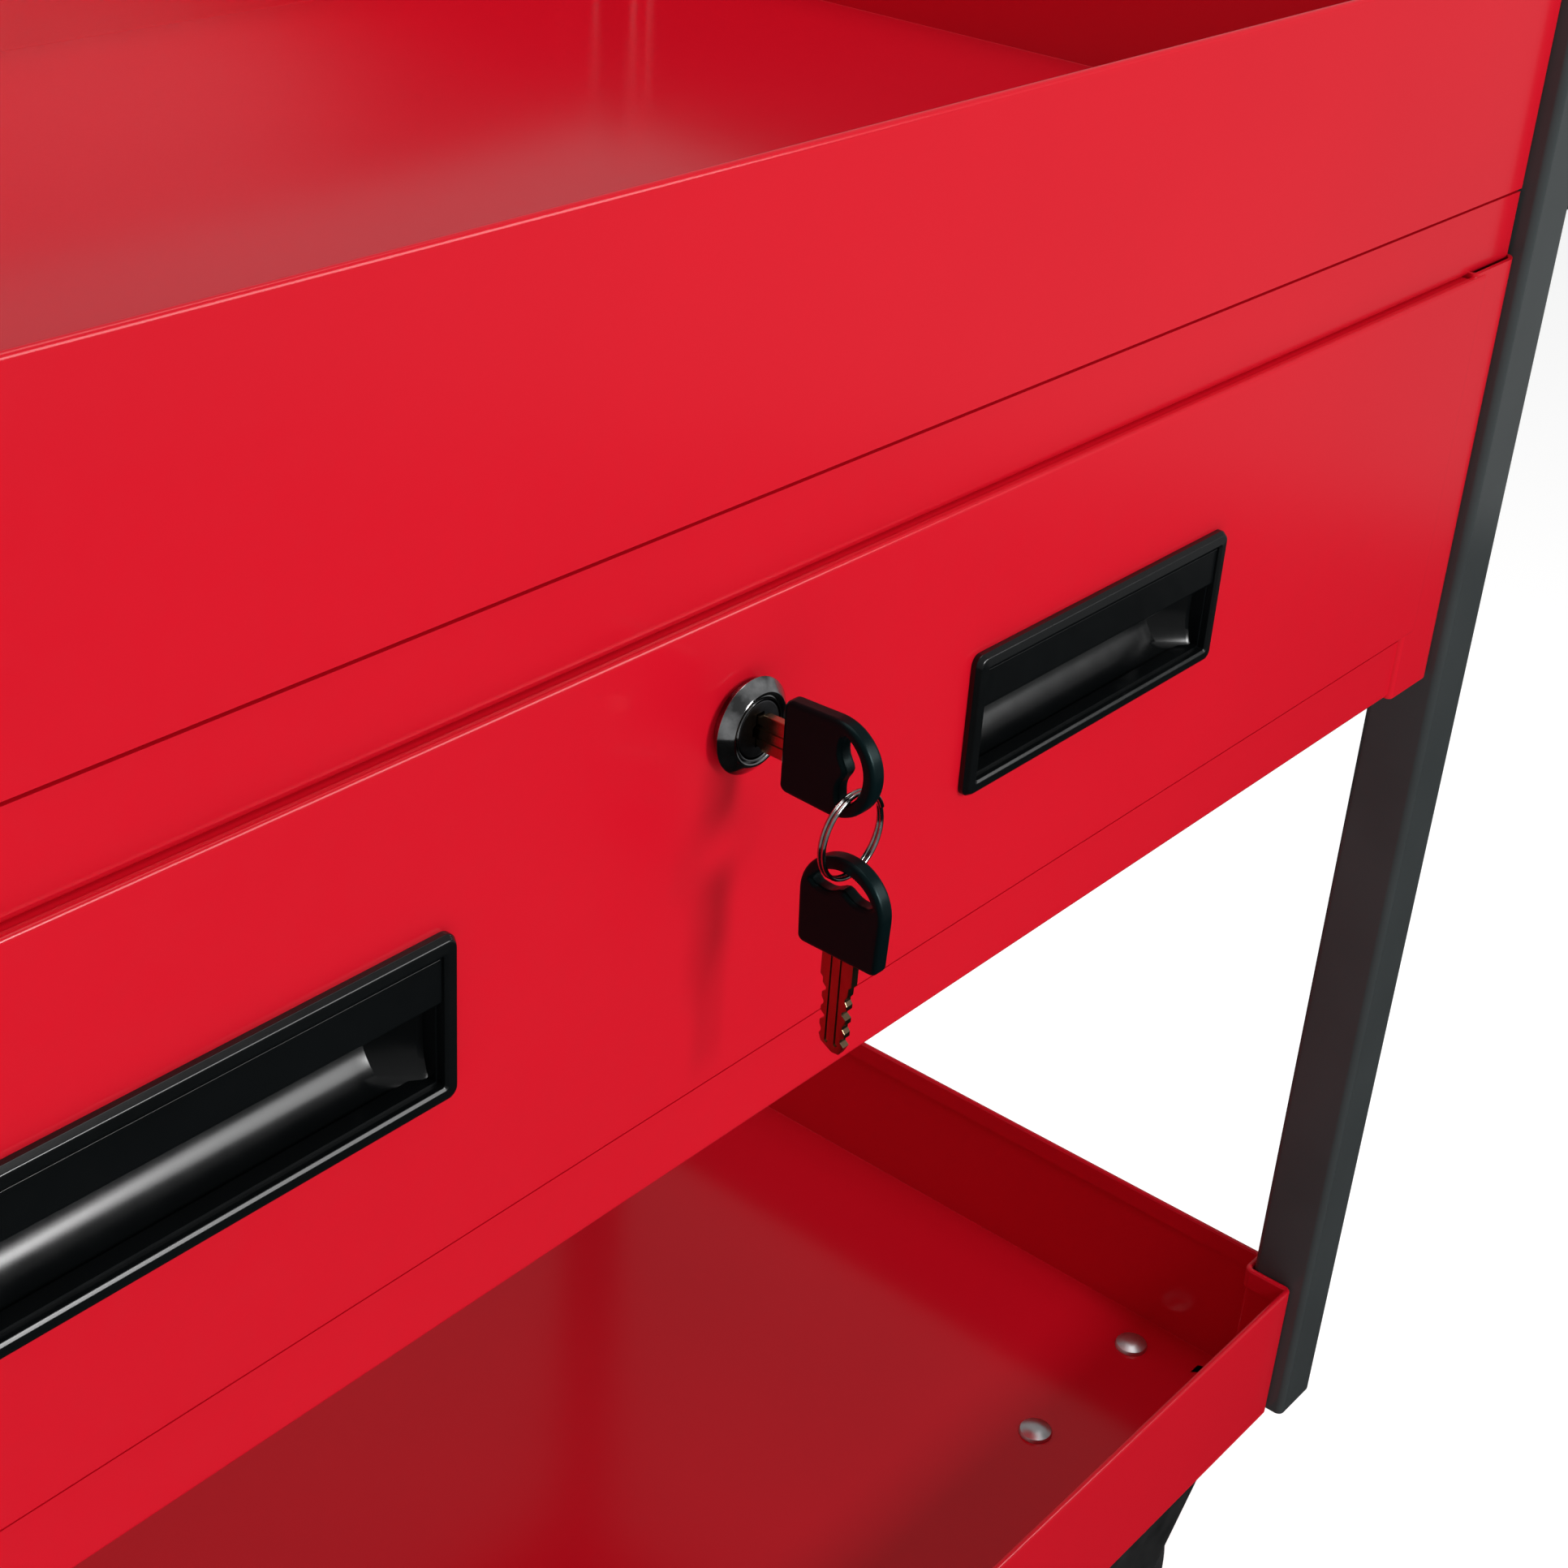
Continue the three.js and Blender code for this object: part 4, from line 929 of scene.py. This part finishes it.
FORK_IN = 20.0
for end in ("front", "back"):
    for side in ("left", "right"):
        prefix = f"{end}_{side}"
        hub_c = mid(prefix + "_tyre")
        ax, ay, az = (mm(v) for v in hub_c)
        wheel(prefix, hub_c)
        if side == "left":
            fork_lo, fork_hi = lohi(prefix + "_fork")
            top = mm(fork_hi.z)
            fx_ = mm((fork_lo.x + fork_hi.x) / 2)
            axle(prefix, "cart", hub_c)
            top_plate(prefix + "_plate", fx_, ay, top, "cart", replaces=(prefix + "_fork",))
            cheek = fillet([(fx_ - 31, top - 2.2), (ax - 15, az + 8), (ax - 15, az - 14), (ax + 15, az - 14),
                            (ax + 15, az + 8), (fx_ + 31, top - 2.2)], [0, 30, 14, 14, 30, 0], 10)
            for s in (-1, 1):
                side_plate(f"{prefix}_fork_cheek_{'ab'[s > 0]}", cheek, ay + s * (FORK_IN + 1.5), 3.0, "cart")
            bm = bmesh.new()
            for s in (-1, 1):
                web = fillet([(ay + s * FORK_IN, top - 12), (ay + s * (FORK_IN + 3), top - 3.1),
                              (ay + s * (FORK_IN - 7), top - 3.1)], [0, 0, 0], 2)
                prism(bm, web, "X", fx_ - 29, fx_ + 29)
            finish_mesh(bm, f"{prefix}_fork_gussets", "zinc_steel", "cart")
            continue
        plate_lo, plate_hi = lohi(prefix + "_swivel_plate")
        px, py, top = mm((plate_lo.x + plate_hi.x) / 2), ay, mm(plate_hi.z)
        fork_lo, fork_hi = lohi(prefix + "_fork")
        crown = mm(fork_hi.z)
        body = f"{end}_right_caster"
        axle(prefix, body, hub_c)
        top_plate(prefix + "_plate", px, py, top, "cart", replaces=(prefix + "_swivel_plate",))
        bm = bmesh.new()
        pin_low = mm(plate_lo.z)
        race = fillet([(6.2, top - 3.2), (34, top - 3.2), (33, top - 6), (28.5, top - 9), (27.5, crown + 0.6),
                       (6.2, crown + 0.6)], [0, 1, 3, 3, 1, 0], 5)
        king = Vector((px, py, 0)) * MM
        lathe(bm, race, "Z", king, 64)
        lathe(bm, [(0, pin_low + 4), (5.9, pin_low + 4), (5.9, top - 3.1), (0, top - 3.1)], "Z", king, 32,
              closed=False)
        hex_bolt(bm, Vector((px, py, pin_low + 4)) * MM, (0, 0, -1), 14, 3.2)
        finish_mesh(bm, prefix + "_raceway", "zinc_steel", "cart")
        bm = bmesh.new()
        dish = fillet([(6.7, crown - 0.1), (24, crown - 0.1), (29, crown + 3.5), (31.4, crown + 3.5),
                       (31.4, crown + 2.2), (27, crown - 3.2), (6.7, crown - 3.2)], [0, 3, 1.5, 0.4, 0.4, 3, 0], 4)
        lathe(bm, dish, "Z", king, 64)
        finish_mesh(bm, prefix + "_fork_crown", "zinc_steel", body, replaces=(prefix + "_fork",))
        pin_x, pin_z = ax - 26, az + 65.5        # the pedal's pin
        cheek = fillet([(px + 29, crown - 3), (px + 29, crown - 14), (ax + 14.5, az - 2), (ax + 12, az - 14),
                        (ax - 12, az - 14), (ax - 15, az + 4), (pin_x - 7, pin_z - 7), (pin_x - 7, pin_z + 6.5),
                        (px - 30, crown - 3)], [2, 10, 14, 10, 10, 30, 5, 5, 2], 8, closed=True)
        for s in (-1, 1):
            side_plate(f"{prefix}_fork_cheek_{'ab'[s > 0]}", cheek, ay + s * (FORK_IN + 1.5), 3.0, body)
        bm = bmesh.new()
        for s in (-1, 1):
            web = [(ay + s * (FORK_IN + out), crown - down)
                   for out, down in ((0.2, 3.1), (3, 3.4), (0.6, 0.4), (-4, 0.2), (-4, 3.1))]
            prism(bm, fillet(web, [0, 0.8, 0.8, 0, 0], 4, closed=True), "X", px - 27, px + 27)
        finish_mesh(bm, f"{prefix}_fork_shoulders", "zinc_steel", body)
        pedal = fillet([(pin_x + dx, pin_z + dz) for dx, dz in ((6, 5), (6, -2), (-4, -4.5), (-26, -9), (-44, -15),
                                                                (-45, -11), (-26, -3), (-4, 5))],
                       [2, 1.5, 3, 8, 1.5, 1.5, 8, 3], 5, closed=True)
        bm = bmesh.new()
        prism(bm, pedal, "Y", ay - FORK_IN + 0.5, ay + FORK_IN - 0.5)
        for k in range(5):
            u = 0.12 + k * 0.16
            tx, tz = pin_x - 44 + 18 * u / 0.8, pin_z - 11 + 8 * u / 0.8
            rib = fillet([(tx - 1.6, tz - 1.2), (tx + 1.6, tz - 0.2), (tx + 1.2, tz + 1.5), (tx - 1.0, tz + 0.6)],
                         0.4, 3, closed=True)
            prism(bm, rib, "Y", ay - FORK_IN + 3, ay + FORK_IN - 3)
        lathe(bm, [(0, -FORK_IN - 3), (3.0, -FORK_IN - 3), (3.0, FORK_IN + 3), (0, FORK_IN + 3)], "Y",
              Vector((pin_x, ay, pin_z)) * MM, 24, closed=False)
        finish_mesh(bm, prefix + "_pedal_moulding", "pedal_plastic", f"{end}_right_brake",
                    replaces=(prefix + "_brake_pedal",))


# ---- braces under the lower tray -----------------------------------------------------------------
bm = bmesh.new()
base_z = mm(lohi("bottom_tray")[0].z)
for y in (TRAY_Y0 + 110, TRAY_Y1 - 110):
    hat = fillet([(y - 30, base_z - 0.1), (y - 18, base_z - 0.1), (y - 15, base_z - 12), (y + 15, base_z - 12),
                  (y + 18, base_z - 0.1), (y + 30, base_z - 0.1)], [0, 1.5, 2.5, 2.5, 1.5, 0], 4)
    prism(bm, thicken(hat, -1.2), "X", cx - 240, cx + 200)
finish_mesh(bm, "tray_braces", "red_steel", "cart")


# ---- carried-over CAD nodes ----------------------------------------------------------------------
slots = {s["node"]: s["material_slot"] for s in frame["record"]["subparts"]}
for name, obj in frame["nodes"].items():
    obj.data.materials.clear()
    obj.data.materials.append(MATS[slots[name]])


# ---- stage -------------------------------------------------------------------------------------
bm = bmesh.new()
bmesh.ops.create_grid(bm, x_segments=1, y_segments=1, size=12)
floor_mesh = bpy.data.meshes.new("floor")
bm.to_mesh(floor_mesh)
bm.free()
floor = bpy.data.objects.new("floor", floor_mesh)
floor.location.z = -0.0005
bpy.context.scene.collection.objects.link(floor)
MATS["floor"] = material("pale_floor", (0.72, 0.72, 0.72), 0.8, spread=0.005, grain=30, bump=0.0, blotch=2,
                         specular=0.1)
glow = MATS["floor"].node_tree.nodes["Principled BSDF"]
glow.inputs["Emission Color"].default_value = (1, 1, 1, 1)
glow.inputs["Emission Strength"].default_value = 0.60
floor_mesh.materials.append(MATS["floor"])
floor.visible_glossy = False                # glossy surfaces see the studio gradient below instead

world = bpy.data.worlds.new("studio")
bpy.context.scene.world = world
world.use_nodes = True
tree = world.node_tree
where = tree.nodes.new("ShaderNodeTexCoord")
parts = tree.nodes.new("ShaderNodeSeparateXYZ")
tree.links.new(where.outputs["Generated"], parts.inputs["Vector"])
height = tree.nodes.new("ShaderNodeMapRange")
height.inputs["From Min"].default_value = -1.0
tree.links.new(parts.outputs["Z"], height.inputs["Value"])
sky = tree.nodes.new("ShaderNodeValToRGB")
tree.links.new(height.outputs["Result"], sky.inputs["Fac"])
stops = sky.color_ramp.elements
stops[0].position, stops[0].color = 0.0, (0.02, 0.02, 0.02, 1)
stops[1].position, stops[1].color = 1.0, (1, 1, 1, 1)
for position, value in ((0.312, 0.03), (0.320, 0.75), (0.5, 0.85), (0.6, 1.0)):
    stop = stops.new(position)
    stop.color = (value, value, value, 1)
tree.links.new(sky.outputs["Color"], tree.nodes["Background"].inputs["Color"])
tree.nodes["Background"].inputs["Strength"].default_value = 0.34


def area_light(name, place, target, size, power):
    data = bpy.data.lights.new(name, "AREA")
    data.shape = "RECTANGLE"
    data.size, data.size_y = size
    data.energy = power
    obj = bpy.data.objects.new(name, data)
    obj.location = place
    obj.rotation_mode = "QUATERNION"
    obj.rotation_quaternion = (Vector(target) - Vector(place)).to_track_quat("-Z", "Y")
    bpy.context.scene.collection.objects.link(obj)
    return obj


area_light("key_light", LOCK + Vector((0.19, -1.05, 0.47)), LOCK + Vector((-0.1, 0, 0)), (0.32, 0.28), 8.4)
area_light("top_light", LOCK + Vector((0.2, 0.2, 1.9)), LOCK, (1.8, 1.4), 21)
card = area_light("reflector_card", LOCK + Vector((0.85, -2.0, 0.9)), LOCK, (2.3, 1.1), 58)
card.visible_diffuse = False                # a card that only shows in the glossy edges of sheet and plastic
card.light_linking.receiver_collection = bpy.data.collections.new("card_receivers")
for obj in bpy.context.scene.objects:
    if obj.type == "MESH" and obj.data.materials and obj.data.materials[0] in (
            MATS["red_steel"], MATS["pull_plastic"], MATS["key_plastic"]):
        card.light_linking.receiver_collection.objects.link(obj)
bpy.context.scene.view_settings.view_transform = "Standard"
